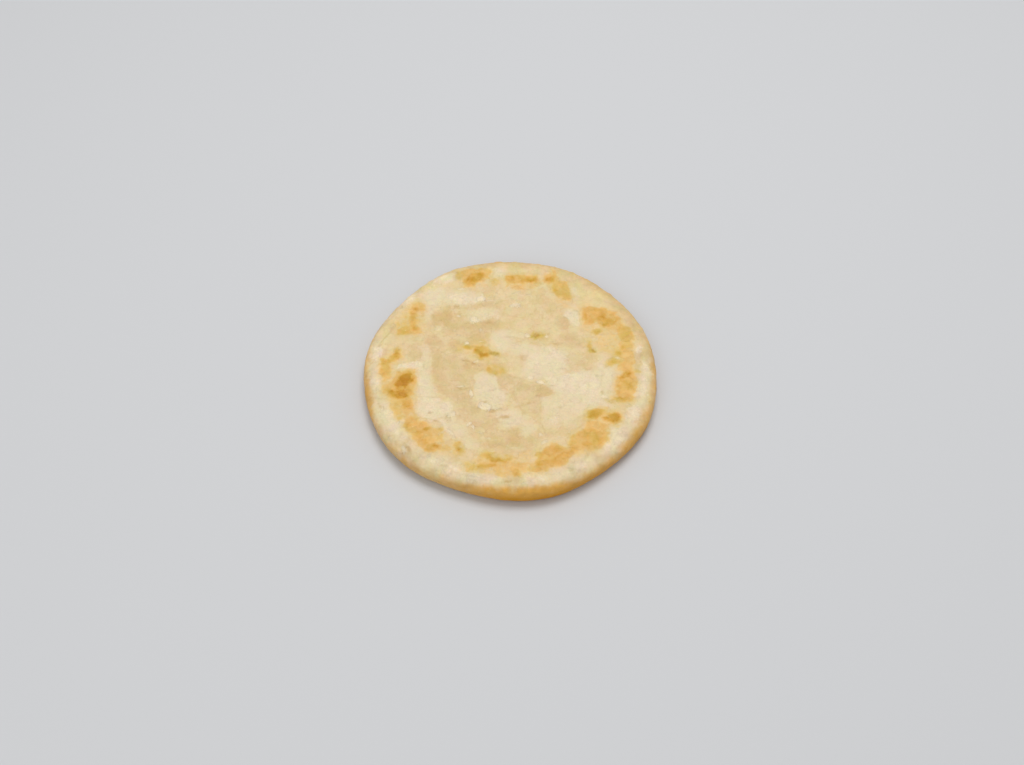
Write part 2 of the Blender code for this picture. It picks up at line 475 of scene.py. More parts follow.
    (0.22, 0, (-60, 30, -56.5, 38, -53.5, 43.5, -46, 44.5, -43.6, 40, -44.6, 30, -44, 23, -50, 20.5,
     -58.5, 19.6, -60.5, 24)),
    # the middle, where the swelling touched the griddle
    (0.62, 0.1, (-19, 13.6, -16, 14.8, -14.4, 15.4, -12.4, 13, -11.4, 10, -10.8, 7.4, -13.4, 6.6,
     -16.4, 7.8, -19, 10)),
    (0.98, 0.8, (-18.4, 12.8, -15.4, 12.6, -13.4, 10.2, -11.2, 9.2, -11.4, 7.2, -14.4, 7.2, -16.4, 9,
     -18.2, 10.6)),
    (-12.2, 13.8, 1.2, 2.2, 0.3, -0.7), (-20.2, 9.8, 2.6, 1.7, 0.28, -1.2, -30),
    (-14.6, 16.8, 1.9, 1.3, 0.36, 0.3), (-22.2, 13.6, 2.1, 1.1, 0.72, 1),
    (-8.4, 9.4, 2.6, 1.4, 0.42, 1.2, -10), (-14.6, 11.4, 8, 8, 0.2, 0.2), (-16, 21.4, 1, 4.6, 0.16, 0.3),
    (0.34, 0.8, (-12.4, 2.4, -8.6, 3.2, -4.2, 1.8, -2.4, -0.4, -2.8, -3.6, -6.4, -4.6, -8.8, -3,
     -11.8, -0.6)),
    (-5.6, -2.4, 2.2, 1.5, 0.46, 0.6), (-10.7, -0.4, 1.6, 1.4, 0.62, -0.1),
    (0.4, 1.3, (10.8, 22.4, 12.6, 24.8, 14.6, 24.4, 16, 22.4, 19.4, 22.6, 19.6, 21.4, 17.4, 20.4, 14, 19.4,
     11, 19.8)),
    (13.4, 21.2, 1.8, 1.2, 0.34, 1.4), (11.6, 16.2, 1.6, 1.2, 0.24, 1, -20),
)

MARKS[MarkKind.PANE] = read_marks(
    # upper left, the narrow arc, and the darker scraps below it
    (0.8, 0.6, (-38, 40.8, -28, 39.8, -19, 40.6, -13, 42.8, -5, 45, 1, 45.4, -5, 43.2, -11, 41, -18, 39,
     -28, 38.4, -37, 39.2)),
    (-28, 40.9, 1.9, 1.2, 0.9, -0.6, 10),
    (1, 0.8, (-41.4, 34, -38, 35.4, -36.6, 31, -37, 27, -40.6, 27.4)),
    (1, -0.2, (-37.4, 37.8, -31, 37.2, -30.4, 30, -34, 28, -37.2, 29)),
    (0.85, 0.5, (-34, 30, -24, 30.4, -10, 30.4, -5, 29.4, -7, 26.4, -16, 25, -24, 25.6, -33, 26)),
    (0.4, 0, (-36, 26, -20, 26, -9, 25.4, -11, 21.4, -20, 20.6, -30, 21, -35, 22.4)),
    (-18.6, 23.4, 3.6, 1.6, 0.6, -0.5, 10),
    # the scraps by the ring
    (0.95, -0.6, (-44.8, 15.4, -41.6, 21, -39.4, 22, -36.4, 18.6, -34.6, 16.4, -35, 13.8, -39.4, 14.2)),
    (0.6, -0.4, (-42, 13.6, -37, 13.4, -36.4, 10, -40, 9)),
    (0.7, 0, (-52.8, 5.6, -51.6, 11, -50, 15.4, -48.4, 15.2, -45.8, 11.6, -44.6, 8, -46, 5.8, -49, 5)),
    # round the dark middle mark
    (0.95, 0, (-31, 12, -30, 17, -26.6, 19, -24, 17, -24, 13, -27, 11.4)),
    (0.6, 0, (-24, 20, -13, 21, -11.4, 16, -18, 14.6, -23.6, 16)),
    (0.6, 0.2, (-24, 6.4, -18, 4.4, -13.5, 2.4, -12.4, -1, -17.6, -3, -24, -1)),
    # the long left pane, darkest at its outer side
    (0.62, 0.1, (-39.6, 9.4, -35, 10.6, -29, 9, -25, 6.4, -18, 3, -17.8, -9, -19.4, -13.4, -20.8, -17,
     -18, -22.4, -15.2, -27.4, -17, -30, -23, -27, -28, -22, -33, -17.6, -38.4, -9)),
    (0.9, -0.5, (-39.4, 8.6, -35.6, 8, -34.6, 0, -32, -7, -29, -10.6, -31.6, -13, -36, -12, -38.6, -6,
     -39.6, 2)),
    (-31.6, -1.6, 2, 6, 0.6, -0.3, 14), (-21.4, 1.6, 3, 2.6, 0.8, -0.2), (-27.4, 0.8, 1.2, 2.4, 0.8),
    (-20.6, -12.6, 2, 2.2, 0.85, -0.3), (-21, -18, 1.4, 3, 0.8, -0.4, 10),
    (0.8, -0.2, (-27, -20.4, -21, -19, -17, -23, -14.6, -27.6, -18, -29, -24, -25.6)),
    (-28.6, -15.4, 3, 2.6, 0.56, 0.4, -50),
    # the low pane with its darker heart
    (0.66, -0.6, (-20, -28.4, -14, -28, -8, -28.8, -5, -31.6, -6.6, -36, -10, -38.4, -17.6, -38,
     -21, -33)),
    (-3.2, -30.6, 3, 0.9, 0.8, -0.4, 8), (-24, -32.6, 2.6, 4.4, 0.3, 0.3, -10),
    (0.8, -0.4, (-6, -38.2, 4.6, -38, 5.2, -48.4, -0.6, -49, -2.6, -44, -1.6, -40.6)),
    (0.85, 0, (-11, -45, -3, -44.6, -2.6, -48.8, -9.6, -49.6)),
    (-7.6, -42, 4, 2, 0.36),
    (0.46, 0.9, (5.4, -41.4, 12.6, -41.6, 13, -47, 9, -50.4, 5.4, -49.6)),
    (10.4, -44.8, 1.8, 2, 0.6, 0.4),
    (0.62, 0.2, (14.6, -29, 16.4, -35, 20.4, -38, 22, -41.4, 19, -43.6, 15.6, -42.4, 14, -37)),
    (23.6, -34.4, 2.6, 3, 0.36, -0.6, 30),
    # beside the big flake
    (0.66, -0.2, (2.6, -20.6, 9.6, -20, 15.6, -17.6, 16.4, -24, 15.6, -30, 11, -28.6, 6, -28.6,
     3.6, -25.4)),
    (12.8, -24, 2.4, 4, 0.5, -0.6),
    (0.95, 0.4, (3.4, -9.4, 9, -9.6, 14.4, -11.4, 14.6, -14.6, 8, -15, 1, -15.6, 0.4, -13)),
    (0.56, 0.2, (0.4, -15, 8, -14.8, 14, -15, 14, -19.4, 7, -20.6, 1, -20.4)),
    (0.9, -0.8, (12.6, -13, 16, -12, 21, -12.4, 21.4, -16, 18.6, -18.2, 14, -17.6)),
    (0.8, -0.8, (-7.4, -4, -1, -3.6, 3, -6, 2.4, -10, -1, -13, -5, -13, -6.6, -9.6)),
    (4.6, -7.4, 1.6, 2.6, 0.6, 0.4, -20),
    (0.8, 0, (-12.8, 3, -7, 4, -2, 1.6, -1.4, -2.6, -5, -4.6, -9.4, -4, -13.4, -1.6)),
    # the upper right
    (0.3, 0, (0.6, 49.4, 4, 49.8, 9, 47.4, 14, 48.8, 20, 47, 24.6, 43, 28, 39.8, 29.6, 33, 24, 33.6,
     17, 36, 9, 37, 0.6, 37.4)),
    (4.4, 44.6, 4.6, 3, 0.42, 0, 10), (5.6, 39.6, 5, 1.6, 0.42, -0.7), (15.6, 46, 3, 2, 0.36, 0.4, -20),
    (21.4, 41.6, 4, 3.2, 0.5, -0.9, -30), (27.4, 29.6, 3.4, 4.6, 0.86, -0.6),
    (-4.6, 35, 2.4, 1.4, 0.6, 0.6), (9.6, 28.2, 2, 1.2, 0.5, -0.3), (-11, 30.2, 1.8, 1, 0.9, -0.5),
    # right
    (0.78, -0.4, (28.4, 22, 33, 23.4, 36.6, 20, 37.4, 14.6, 33, 12.6, 29, 14.6)),
    (24.4, 16.8, 3.4, 1.2, 0.9, -0.3, -14), (26, 20, 3, 2.6, 0.4, -0.2),
    (12.4, 17.4, 3, 1.6, 0.5, 0.9, -20),
    (0.52, 0.2, (29, 9, 33, 10.6, 38, 8, 39, 2, 36, -2.6, 30, -1.6, 28.4, 4)),
    (39.4, -0.2, 2.4, 1.5, 0.8, -0.2), (29, -2, 2, 1.4, 0.5),
)

# Broad soft stretches where the dough is more golden and tan; on the far rim they are painted shade
MARKS[MarkKind.TAN] = read_marks(
    (-34, 33.4, 4.2, 5, 1.3), (-18, 27.8, 13, 2.8, 0.9), (-38.4, 30.6, 2.2, 4, 0.8),
    (-27.6, 33.6, 2.6, 2.6, 0.6), (-16.6, 19.4, 6.4, 5.4, 0.8), (-27.6, 15, 4, 4.6, 0.8),
    (-30, 23.4, 7, 3, 0.4), (-18, 1.6, 5.4, 3, 0.9, 0, -15), (-8, 0, 6, 4.6, 1, 0, -30),
    (-36.4, -1.4, 3.4, 11, 0.6), (-30, 2, 5, 9, 0.3), (18, -15, 4, 3.4, 0.7), (-40, 17.5, 5, 5, 0.4),
    (-49, 9.5, 4, 6, 0.4), (14.6, 21.4, 6, 3, 0.7), (2, -43.6, 3.6, 5.4, 1), (-6.2, -47.4, 5.4, 2.8, 1),
    (-2, -42.4, 4.4, 3, 0.7), (0.5, -67.6, 4.4, 3.4, 0.9), (44, -54.4, 4.4, 3, 0.4, 0, 40),
    (8.2, -47.6, 4.4, 5, 0.6), (0, -52, 10, 2.4, 0.4), (21.6, 41.6, 5, 4, 0.5, 0, -20), (4, 36, 12, 8, 0.2),
    (31.6, 18, 5, 5, 0.24),
    # the far rim, where the face rounds away: tan painted there as shade
    (4, 71, 26, 3.4, 0.8), (30, 64.5, 14, 3.6, 0.8, 0, -25), (51, 52, 18, 4.6, 1.3, 0, -45),
    (47, 49, 6, 3.4, 0.6, 0, -45), (65, 33, 4.4, 18, 1.1, 0, 27), (71, 12, 2.6, 10, 0.6, 0, 8),
)

# Broad soft stretches where it is milkier
MARKS[MarkKind.MILK] = read_marks(
    (-5, 17, 7, 7, 0.9), (0, 22, 9, 3, 0.7, 0, -10), (10, 12, 11, 5, 0.8, 0, -10), (20, 4, 13, 10, 1),
    (34, -10, 15, 10, 1), (23, -22, 11, 7, 0.7), (14, -2, 8, 6, 0.9), (0, -31, 8, 5, 0.8),
    (9.6, -37.6, 3.4, 3.4, 0.7), (-10, -13, 8, 12, 0.9, 0, 15), (25, -32, 9, 6, 0.5), (36, -22, 9, 8, 0.8),
    (-40, 47, 8, 6, 1, 0, 40), (-42, 38, 3.4, 7, 0.7), (-27, 46, 12, 5, 0.9), (-43.6, 4, 3.6, 12, 0.7),
    (-42.6, -14, 4.6, 12, 1, 0, 10), (-37, -26, 9, 6, 0.9), (-28, -37, 5, 9, 0.7, 0, 30),
    (-21, -47, 5, 5, 0.5, 0, 30), (-14, 36.6, 9, 3.6, 0.7, 0, 4), (-18, 32, 5, 2, 0.8),
    (33, 34, 4, 7, 0.9, 0, 10), (34, 50, 2.4, 4, 0.6), (48, -6, 5, 12, 0.9), (46, -20, 6, 5, 0.9),
    (-6, 64, 3, 3, 0.9), (-33, 60, 6, 3.4, 0.8, 0, 30), (66, -14, 3.6, 18, 1, 0, -14),
    (52, -44, 6, 13, 0.9, 0, -40), (28, -62, 18, 4.6, 0.7, 0, 24), (-60, -32, 4.6, 16, 0.9, 0, 28),
    (-36, -57, 14, 4.6, 0.8, 0, -28), (-10, -67, 16, 3.4, 0.9, 0, -6), (-68, 2, 3, 16, 0.9),
)

MARKS[MarkKind.FLOUR] = read_marks(
    # the big torn flake left of the middle
    (0.34, 0, (-17.6, -3.6, -11, -1.8, -7.8, -4, -7.6, -9.6, -9, -12.6, -10.6, -19.6, -16, -21.6,
     -19.6, -19.4, -20.6, -16, -19, -13, -17.2, -9)),
    (0.5, 0, (-10.6, -14, -6, -13.6, -3, -16, -0.6, -20, -1, -24.4, -4.6, -26, -10, -26.4, -12.6, -25,
     -15.6, -24.6, -16, -21.6, -11, -20)),
    (1.6, -11, 3.4, 2.4, 0.44),
    # right of the middle
    (0.52, 0, (9, 6, 11, 10, 15, 14.6, 22, 14.6, 27, 12, 28.6, 8, 28, 2, 26, -3, 20, -3, 14, 1, 9.6, 2)),
    (0.7, 0, (17, -5, 27, -4, 35, -3.4, 42, -4, 46.6, -8, 46, -14, 44, -18, 38, -17, 30, -16, 24, -13,
     19.6, -10.4, 16.6, -8)),
    (0.4, 0, (24, -19, 30, -16.6, 34, -18.6, 34, -23, 31, -27, 25, -26, 22.6, -22.6)),
    (0.6, 0, (35, -17.6, 45, -17, 50, -20.6, 49, -25, 42, -24.6, 36, -22.6)),
    (0.46, 0, (46, 6, 50, 3, 52, -2, 53, -8, 50, -12, 46, -10, 45, -4, 43, 2)),
    (0.66, 0, (19.6, -30.6, 23.6, -30, 25, -34, 22.6, -36.6, 20, -34.6)),
    (34, -28.5, 5, 3.4, 0.34), (-1, -34.4, 3.6, 2.6, 0.56), (-2.2, 0.5, 4, 3.4, 0.3),
    # the upper right flake
    (0.7, 0, (28.4, 37.4, 32, 38.4, 35.6, 36.4, 37.2, 31, 36, 27, 32, 27.2, 31.2, 31, 28.6, 33.4)),
    # the small bright spots by the far rim are painted highlights
    (33.4, 51.6, 1.8, 2.4, 0.6), (30.8, 53.4, 0.9, 1, 0.85),
    # left, inside the brown marks
    (0.68, 0, (-47, -18.4, -41, -18.8, -35.6, -19, -33.6, -22, -29, -20.6, -27.4, -27, -29, -30.6,
     -33, -29.6, -36, -33.4, -42, -33.6, -45.6, -30.6, -47, -26)),
    (0.44, 0, (-47.6, -1, -46, 2.6, -42.6, 4.6, -40.6, 0, -39.6, -8, -36, -15, -34.6, -19, -40, -18,
     -45.6, -17.4, -47.4, -10)),
    (0.92, 0, (-57, 1.2, -54, 3.4, -46.6, 3.4, -43, 1, -46, -2.4, -48, -1.8, -52, -1.6, -57, -1.6)),
    (0.74, 0, (-34.6, -33, -31.6, -32.6, -30, -37.6, -27, -43, -25, -46, -27, -46.6, -30.6, -42,
     -33.6, -37.6)),
    (0.4, 0, (-26.6, -43, -22.6, -44.6, -19.6, -47, -18, -52, -20.6, -55.6, -23, -50, -25.6, -46)),
    # upper left
    (0.72, 0, (-33, 46.6, -29.6, 48.6, -24, 50.4, -20, 46.6, -14, 49, -12.6, 45, -14, 42.6, -19, 42.6,
     -25, 41.2, -31, 41.8, -34, 43)),
    (-37.6, 39.8, 3.2, 3.6, 0.5),
    # a floury flake, brightened as a painted highlight on its edge
    (0.96, 0, (-22, 31.6, -19.6, 33, -15.6, 32.6, -14.8, 30.8, -18, 29.8, -21.6, 30)),
    (0.5, 0, (-13, 35.6, -8, 36.8, -4, 35, -6, 32.4, -12, 31, -14.6, 33)),
    # bright dashes and specks: painted highlights on flake edges
    (3, 41.6, 2.4, 0.9, 1, 0, -2), (6.4, 48.6, 3.4, 0.8, 0.6, 0, -30), (-37.6, 25.4, 1.6, 1.8, 0.7),
    # the long one on the far left of the rim is floury and also a painted highlight
    (-6, 63.8, 2.2, 1.8, 0.6), (-53, 45.6, 3.4, 9, 0.6, 0, -40), (-35, 59, 8, 4, 0.6, 0, 30),
    (41, -6, 3.6, 2.4, 0.5), (17, 8, 4, 5, 0.3),
    # the pale outer rim, clockwise from the left
    (-67.8, 8.6, 3, 5, 1, 0, -10), (-68.2, -9, 2.2, 8, 0.7, 0, 6), (-64, -28.6, 2.2, 3.6, 0.9, 0, 24),
    (-61, -31, 2.8, 8, 0.66, 0, 26), (-55.4, -39, 3.4, 8.6, 0.7, 0, 32), (-49, -46, 6, 2.8, 0.55, 0, -46),
    # the first one here is a glint on the rim, a painted highlight
    (-51.6, -50, 0.9, 2.4, 1, 0, 36), (-37, -56.6, 4, 2, 0.8, 0, -24), (-30, -62, 7.4, 2.8, 0.6, 0, -26),
    (-18.6, -66, 5, 2.4, 0.8, 0, -16), (-8, -68, 6, 1.8, 0.66, 0, -3), (13, -67, 6.6, 2, 0.6, 0, 10),
    (30, -62, 9.6, 3, 0.6, 0, 26), (51.6, -44, 3.6, 8, 0.74, 0, -38), (61, -29, 4, 6, 0.8, 0, -24),
    (67, -10, 2.6, 10, 0.8, 0, -8), (68.6, 0, 2.2, 5, 0.8), (66.4, 11.6, 2.2, 4.2, 0.9),
)

MARKS[MarkKind.CREAM] = read_marks(
    (40, 52, 9, 6, 0.9, 0, -40), (42, 44.5, 10, 3.6, 0.8, 0, -12), (54, 38, 6, 3, 0.45, 0, -40),
    (-44, 54, 7, 4, 0.7, 0, 38), (-33, 58.5, 5, 6, 0.8), (-66, 24, 3.4, 8, 0.8, 0, -20),
    (-58, 17, 5, 4, 0.55), (-70, -9, 1.8, 7, 0.6), (-2.6, 58, 2.2, 6, 0.7), (2, 66, 9, 2.6, 0.6),
    (69.5, 8, 2, 6, 0.7), (-56, -35.5, 2.4, 4, 0.6, 0, 30), (54, -55, 5, 2.4, 0.4, 0, 42),
)

# Small hollows, where a scrap of a layer is gone: sunk into the crust, with painted shade in them
MARKS[MarkKind.HOLLOW] = read_marks(
    (7.4, 6.6, 1.4, 2.2, 0.42), (13.4, 21.2, 2, 1.6, 0.9), (-0.8, -68.4, 1.2, 0.7, 0.9),
    (-25.4, -51, 0.9, 1.3, 0.6), (-12, 30.2, 2.2, 0.7, 0.6), (-9.4, 9.6, 1.4, 1, 0.55),
    (-6.8, 9, 1, 0.9, 0.55), (9.6, -21.8, 0.9, 0.7, 0.55), (-39.8, -28.4, 0.8, 0.7, 0.6),
    (-36.8, -33.6, 1, 0.7, 0.55), (-13.4, -22.2, 2.2, 1.4, 0.6, 0, -15), (-30.6, -32, 1.6, 2, 0.55, 0, -40),
    (24.8, -24.6, 0.9, 0.7, 0.5), (29.4, -62.8, 1.8, 1.3, 0.4), (37.4, -55.4, 2, 1.2, 0.36, 0, 40),
    (-64.8, -24.6, 2.4, 0.8, 0.6, 0, -50), (-50, -50.4, 0.7, 2.4, 0.8, 0, 30), (46.6, -16.8, 0.8, 1, 0.45),
    (44.4, -6.6, 0.6, 1.2, 0.45), (50.6, -21.8, 0.8, 0.9, 0.45), (40.6, -0.6, 1.2, 0.9, 0.5),
    (43, 10.8, 1.1, 0.9, 0.9), (-32.6, -60.4, 2, 0.8, 0.5, 0, -10), (-59, -41.4, 2.4, 0.7, 0.4, 0, -50),
    (-3.2, -31, 2.2, 1, 0.45, 0, 10), (-22.6, 5.2, 2.6, 0.6, 0.8, 0, -18),
    (-18.8, 3.6, 1.4, 0.6, 0.7, 0, -34), (-25.6, -12.4, 2, 0.6, 0.7, 0, -24),
    (-22.6, -13.2, 2, 0.5, 0.5, 0, 6), (-8.6, -26.8, 2.6, 0.7, 0.7, 0, 4),
    (-3.6, -26, 2.4, 0.5, 0.5, 0, 12), (-28, 41, 1.5, 0.9, 0.4, 0, 10), (1, -4.4, 3, 0.5, 0.45, 0, -30),
    (-8.6, -13.4, 1.2, 0.6, 0.4), (-2.6, -15.6, 1.4, 0.7, 0.4, 0, -30), (26.6, -1, 2.4, 0.8, 0.3, 0, -10),
    (-41, -18.2, 3, 0.4, 0.35), (-30, -31.4, 1.2, 1.6, 0.4, 0, -40), (2.4, 20, 4.6, 0.6, 0.45, 0, -4),
    (22.4, 16.4, 2.4, 0.7, 0.5, 0, -20), (-67.4, 14, 1.2, 0.8, 0.5, 0, 40), (14, -17.6, 1.2, 0.4, 0.5),
    (7, -52.4, 1.6, 0.9, 0.35, 0, 20),
)


@dataclass(frozen=True)
class Edge:
    """How the edge of a torn kind of mark breaks up.

    fade is how wide it is, ragged is how far waves shift it, and torn is how much a scrap of
    the layers stays or drops out of the mark as a whole.
    """

    fade: float
    ragged: float
    torn: float


EDGES = {
    MarkKind.PANE: Edge(2.2, 0.8, 0.45),
    MarkKind.TAN: Edge(7.0, 1.0, 0.15),
    MarkKind.MILK: Edge(6.0, 1.0, 0.25),
    MarkKind.FLOUR: Edge(1.5, 1.0, 0.60),
    MarkKind.CREAM: Edge(5.0, 1.0, 0.20),
}


@dataclass
class FaceMarks:
    """Every mark on the face, with edges as ragged as torn and toasted dough has them."""

    noise: DoughNoise
    waves: tuple[tuple[float, float], ...] = ((1.0, 4.2), (0.45, 1.5))  # height and length
    toast_fade: float = 1.9  # how wide the edge of a toasted mark is
    toast_halo: float = 4.8  # how far its pale gold surround goes
    halo_share: float = 0.42
    blend: float = 5.0  # how much the strongest of several toasted marks wins
    scrap_length: float = 3.6
    small_scrap_length: float = 1.9

    def _ragged_places(self, points: Array, step: float, share: float = 1.0) -> Array:
        """Moves points a little, so that what is read there has ragged edges.

        Args:
            points: where they are.
            step: reads another part of the noise.
            share: how far they move, beside the height of the waves.

        Returns:
            The moved points, laid flat.
        """
        flat, moved = across_plan(points), across_plan(points)
        for axis, seed in enumerate((11.3, 71.9)):
            for height, length in self.waves:
                moved[:, axis] += share * height * self.noise.smooth(flat + (seed + step), length)
        return moved

    def toast(self, points: Array) -> tuple[Array, Array]:
        """How toasted each point is, and which way its hue leans.

        Args:
            points: where it is read.

        Returns:
            The toast from 0 to 1, and the lean from -1, orange, to 1, olive.
        """
        places = self._ragged_places(points, 0.0)
        total, lean = np.zeros(len(points)), np.zeros(len(points))
        whole = np.full(len(points), 1e-9)
        half = self.toast_fade / 2
        for mark in MARKS[MarkKind.TOAST]:
            inward = mark.inward(places)
            halo = self.halo_share * ease(inward, -self.toast_halo, 0.0)
            share = mark.depth * (halo + (1 - self.halo_share) * ease(inward, -half, half))
            total += share**self.blend
            whole += share**2
            lean += share**2 * mark.lean
        return total ** (1 / self.blend), lean / whole

    def pane_lean(self, points: Array) -> Array:
        """Which way the hue of the panes leans.

        Args:
            points: where it is read.

        Returns:
            The lean from -1, rosy, to 1, grey-green.
        """
        places = self._ragged_places(points, 200.0)
        whole, lean = np.full(len(points), 0.02), np.zeros(len(points))
        for mark in MARKS[MarkKind.PANE]:
            share = mark.depth * ease(mark.inward(places), -2.0, 2.0)
            whole += share
            lean += share * mark.lean
        return lean / whole

    def torn(self, points: Array, kind: MarkKind) -> Array:
        """How strongly a torn kind of mark shows at each point, 0 to 1.

        Args:
            points: where it is read.
            kind: which marks are meant.

        Returns:
            One share for each point.
        """
        edge = EDGES[kind]
        places = self._ragged_places(points, 200.0, edge.ragged)
        middle, own = self.noise.scraps(places, self.scrap_length)
        _, small = self.noise.scraps(places + 90.0, self.small_scrap_length)
        here, scrap = np.zeros(len(points)), np.zeros(len(points))
        for mark in MARKS[kind]:
            shown = ease(mark.inward(places), -edge.fade / 2, edge.fade / 2)
            here = np.maximum(here, mark.depth * shown)
            scrap = np.maximum(scrap, mark.depth * ease(mark.inward(middle), -1.0, 0.4))
        share = (1 - 0.5 * edge.torn) * here + 0.5 * edge.torn * scrap
        chance = edge.torn * (own - 0.5) + 0.6 * edge.torn * (small - 0.5)
        return share * ease(share + chance, 0.02, 0.26 + 0.6 * edge.torn)

    def hollows(self, points: Array) -> Array:
        """How far each point is in one of the small hollows, 0 to 1."""
        places = self._ragged_places(points, 300.0)
        return np.max([m.depth * ease(m.inward(places), -0.6, 0.5) for m in MARKS[MarkKind.HOLLOW]], axis=0)


# ----- The bread's form -----


@dataclass
class BreadForm:
    """The bare form of the bread, the same as the solid's, without its fine relief."""

    low: Vector
    high: Vector
    radius: float = 75.0
    thickness: float = 12.5
    rim_share: float = 0.47  # height of the outermost line
    foot_share: float = 0.07  # the underside curls up over this last stretch
    shoulder_share: float = 0.10  # the face rounds down over this last stretch
    plumpness: float = 2.3
    crest_share: float = 0.97
    middle_share: float = 0.87
    crest_place: float = 0.77
    crest_spread: float = 0.20
    coil_pitch: float = 10.5
    coil_depth: float = 0.12
    coil_middle: float = 0.22
    swell_length: float = 24.0
    swell_height: float = 0.35
    swell_place: Vector = field(default_factory=lambda: Vector((3.1, 7.4, 1.7)))
    # how finely it is measured: half the rim's section, round, down the rim and across the face
    samples: tuple[int, int, int, int] = (400, 720, 60, 50)
    # waves round the edge, their height, and the bearing of a crest
    lobes: tuple[tuple[int, float, float], ...] = (
        (3, 0.28, radians(-36)), (4, 0.27, radians(15)), (5, 0.16, radians(-9)),
        (6, 0.39, radians(-15)), (7, 0.37, radians(18)), (8, 0.14, radians(21)),
    )

    def __post_init__(self) -> None:
        """Measures the section, and how the bare form has to shift to fill the solid's box."""
        section, columns, rim_rows, face_rows = self.samples
        turns = np.linspace(0, np.pi / 2, section)
        outward = np.sin(turns) ** (2 / self.plumpness)
        upright = np.maximum(np.cos(turns), 0) ** (2 / self.plumpness)
        rim = self.rim_share * self.thickness
        shoulder = self.radius * (1 - self.shoulder_share * (1 - outward))
        above = self.face_height(shoulder / self.radius) - rim
        foot = self.radius * (1 - self.foot_share * (1 - outward))
        radii = np.concatenate([shoulder, foot[::-1][1:]])
        heights = np.concatenate([rim + above * upright, (rim * (1 - upright))[::-1][1:]])
        steps = np.hypot(np.diff(radii), np.diff(heights))
        self.edge_run = np.concatenate([[0.0], np.cumsum(steps)])
        self.edge_radii, self.edge_heights = radii, heights
        self.shift, self.stretch = np.zeros(3), np.ones(3)
        bearings = np.linspace(0, tau, columns, endpoint=False)
        rows = [self.edge_point(run, bearings) for run in np.linspace(0, self.edge_run[-1], rim_rows)]
        rings = np.linspace(1, self.face_radius, face_rows)
        rows += [self.face_point(ring, bearings) for ring in rings]
        points = np.concatenate(rows)
        low, high = np.array(self.low) / MM, np.array(self.high) / MM
        own_low, own_high = points.min(axis=0), points.max(axis=0)
        self.stretch = (high - low) / (own_high - own_low)
        self.shift = (high + low) / 2 - self.stretch * (own_high + own_low) / 2

    @property
    def face_radius(self) -> float:
        """How far the upper face goes before it rounds down."""
        return self.radius * (1 - self.shoulder_share)

    def face_height(self, share: Array) -> Array:
        """Height of the upper face at a share of the radius."""
        rise = np.exp(-(((share - self.crest_place) / self.crest_spread) ** 2))
        return self.thickness * (self.middle_share + (self.crest_share - self.middle_share) * rise)

    def outline(self, bearings: Array) -> Array:
        """How much further out than a true circle the edge lies at each bearing."""
        waves = sum(h * np.cos(n * (bearings - crest)) for n, h, crest in self.lobes)
        return 1 + waves / self.radius

    def _hand_shaped(self, radii: Array | float, bearings: Array, heights: Array | float) -> Array:
        """Adds the coil, the swells and the uneven outline, and fills the solid's box.

        Args:
            radii: how far out each point is, or all are.
            bearings: where round the bread each is.
            heights: how high each is, or all are.

        Returns:
            The points.
        """
        x, y = radii * np.cos(bearings), radii * np.sin(bearings)
        share = radii / self.radius
        fade_in = np.clip((share - self.coil_middle) / self.coil_middle, 0, 1)
        fade_out = np.clip((1 - share) / self.shoulder_share, 0, 1)
        turn = radii / self.coil_pitch - bearings / tau
        rise = self.coil_depth * np.cos(tau * turn) * fade_in * fade_out
        places = np.stack([x, y, np.zeros_like(x)], axis=1) / self.swell_length
        swell = [noise.noise(Vector(place) + self.swell_place) for place in places]
        rise = rise + self.swell_height * np.array(swell)
        wide = self.outline(bearings)
        heights = heights * (1 + rise / self.thickness)
        return np.stack([x * wide, y * wide, heights], axis=1) * self.stretch + self.shift

    def face_point(self, radii: Array | float, bearings: Array) -> Array:
        """Points of the bare upper face."""
        return self._hand_shaped(radii, bearings, self.face_height(radii / self.radius))

    def top_point(self, radii: Array, bearings: Array) -> tuple[Array, Array]:
        """Points seen from straight above, on the bare face or the rounding of its rim.

        Args:
            radii: how far out each is.
            bearings: where round the bread each is.

        Returns:
            The points, and how far round the rim from the end of the face each one is.
        """
        turn = int(np.argmax(self.edge_radii)) + 1
        run = np.interp(radii, self.edge_radii[:turn], self.edge_run[:turn])
        down = np.interp(run, self.edge_run, self.edge_heights)
        inside = radii <= self.face_radius
        heights = np.where(inside, self.face_height(radii / self.radius), down)
        run = np.where(inside, radii - self.face_radius, run)
        return self._hand_shaped(radii, bearings, heights), run

    def edge_point(self, run: float, bearings: Array) -> Array:
        """Points of the bare rim, a run down it from where the face ends."""
        radius = np.interp(run, self.edge_run, self.edge_radii)
        return self._hand_shaped(radius, bearings, np.interp(run, self.edge_run, self.edge_heights))

    def foot_point(self, radii: Array, bearings: Array) -> Array:
        """Points of the flat underside."""
        return self._hand_shaped(radii, bearings, np.zeros_like(radii))


# ----- The fine relief -----


@dataclass(frozen=True)
class Crease:
    """A fold line pressed into the face, through points in millimetres."""

    route: tuple[tuple[float, float], ...]
    depth: float
    width: float

    def groove(self, points: Array) -> Array:
        """How deep in the groove each point is, 0 to 1."""
        sides = zip(np.array(self.route), np.array(self.route)[1:])
        return ease(np.min([gap_to_line(points[:, :2], *side) for side in sides], axis=0), self.width, 0.0)


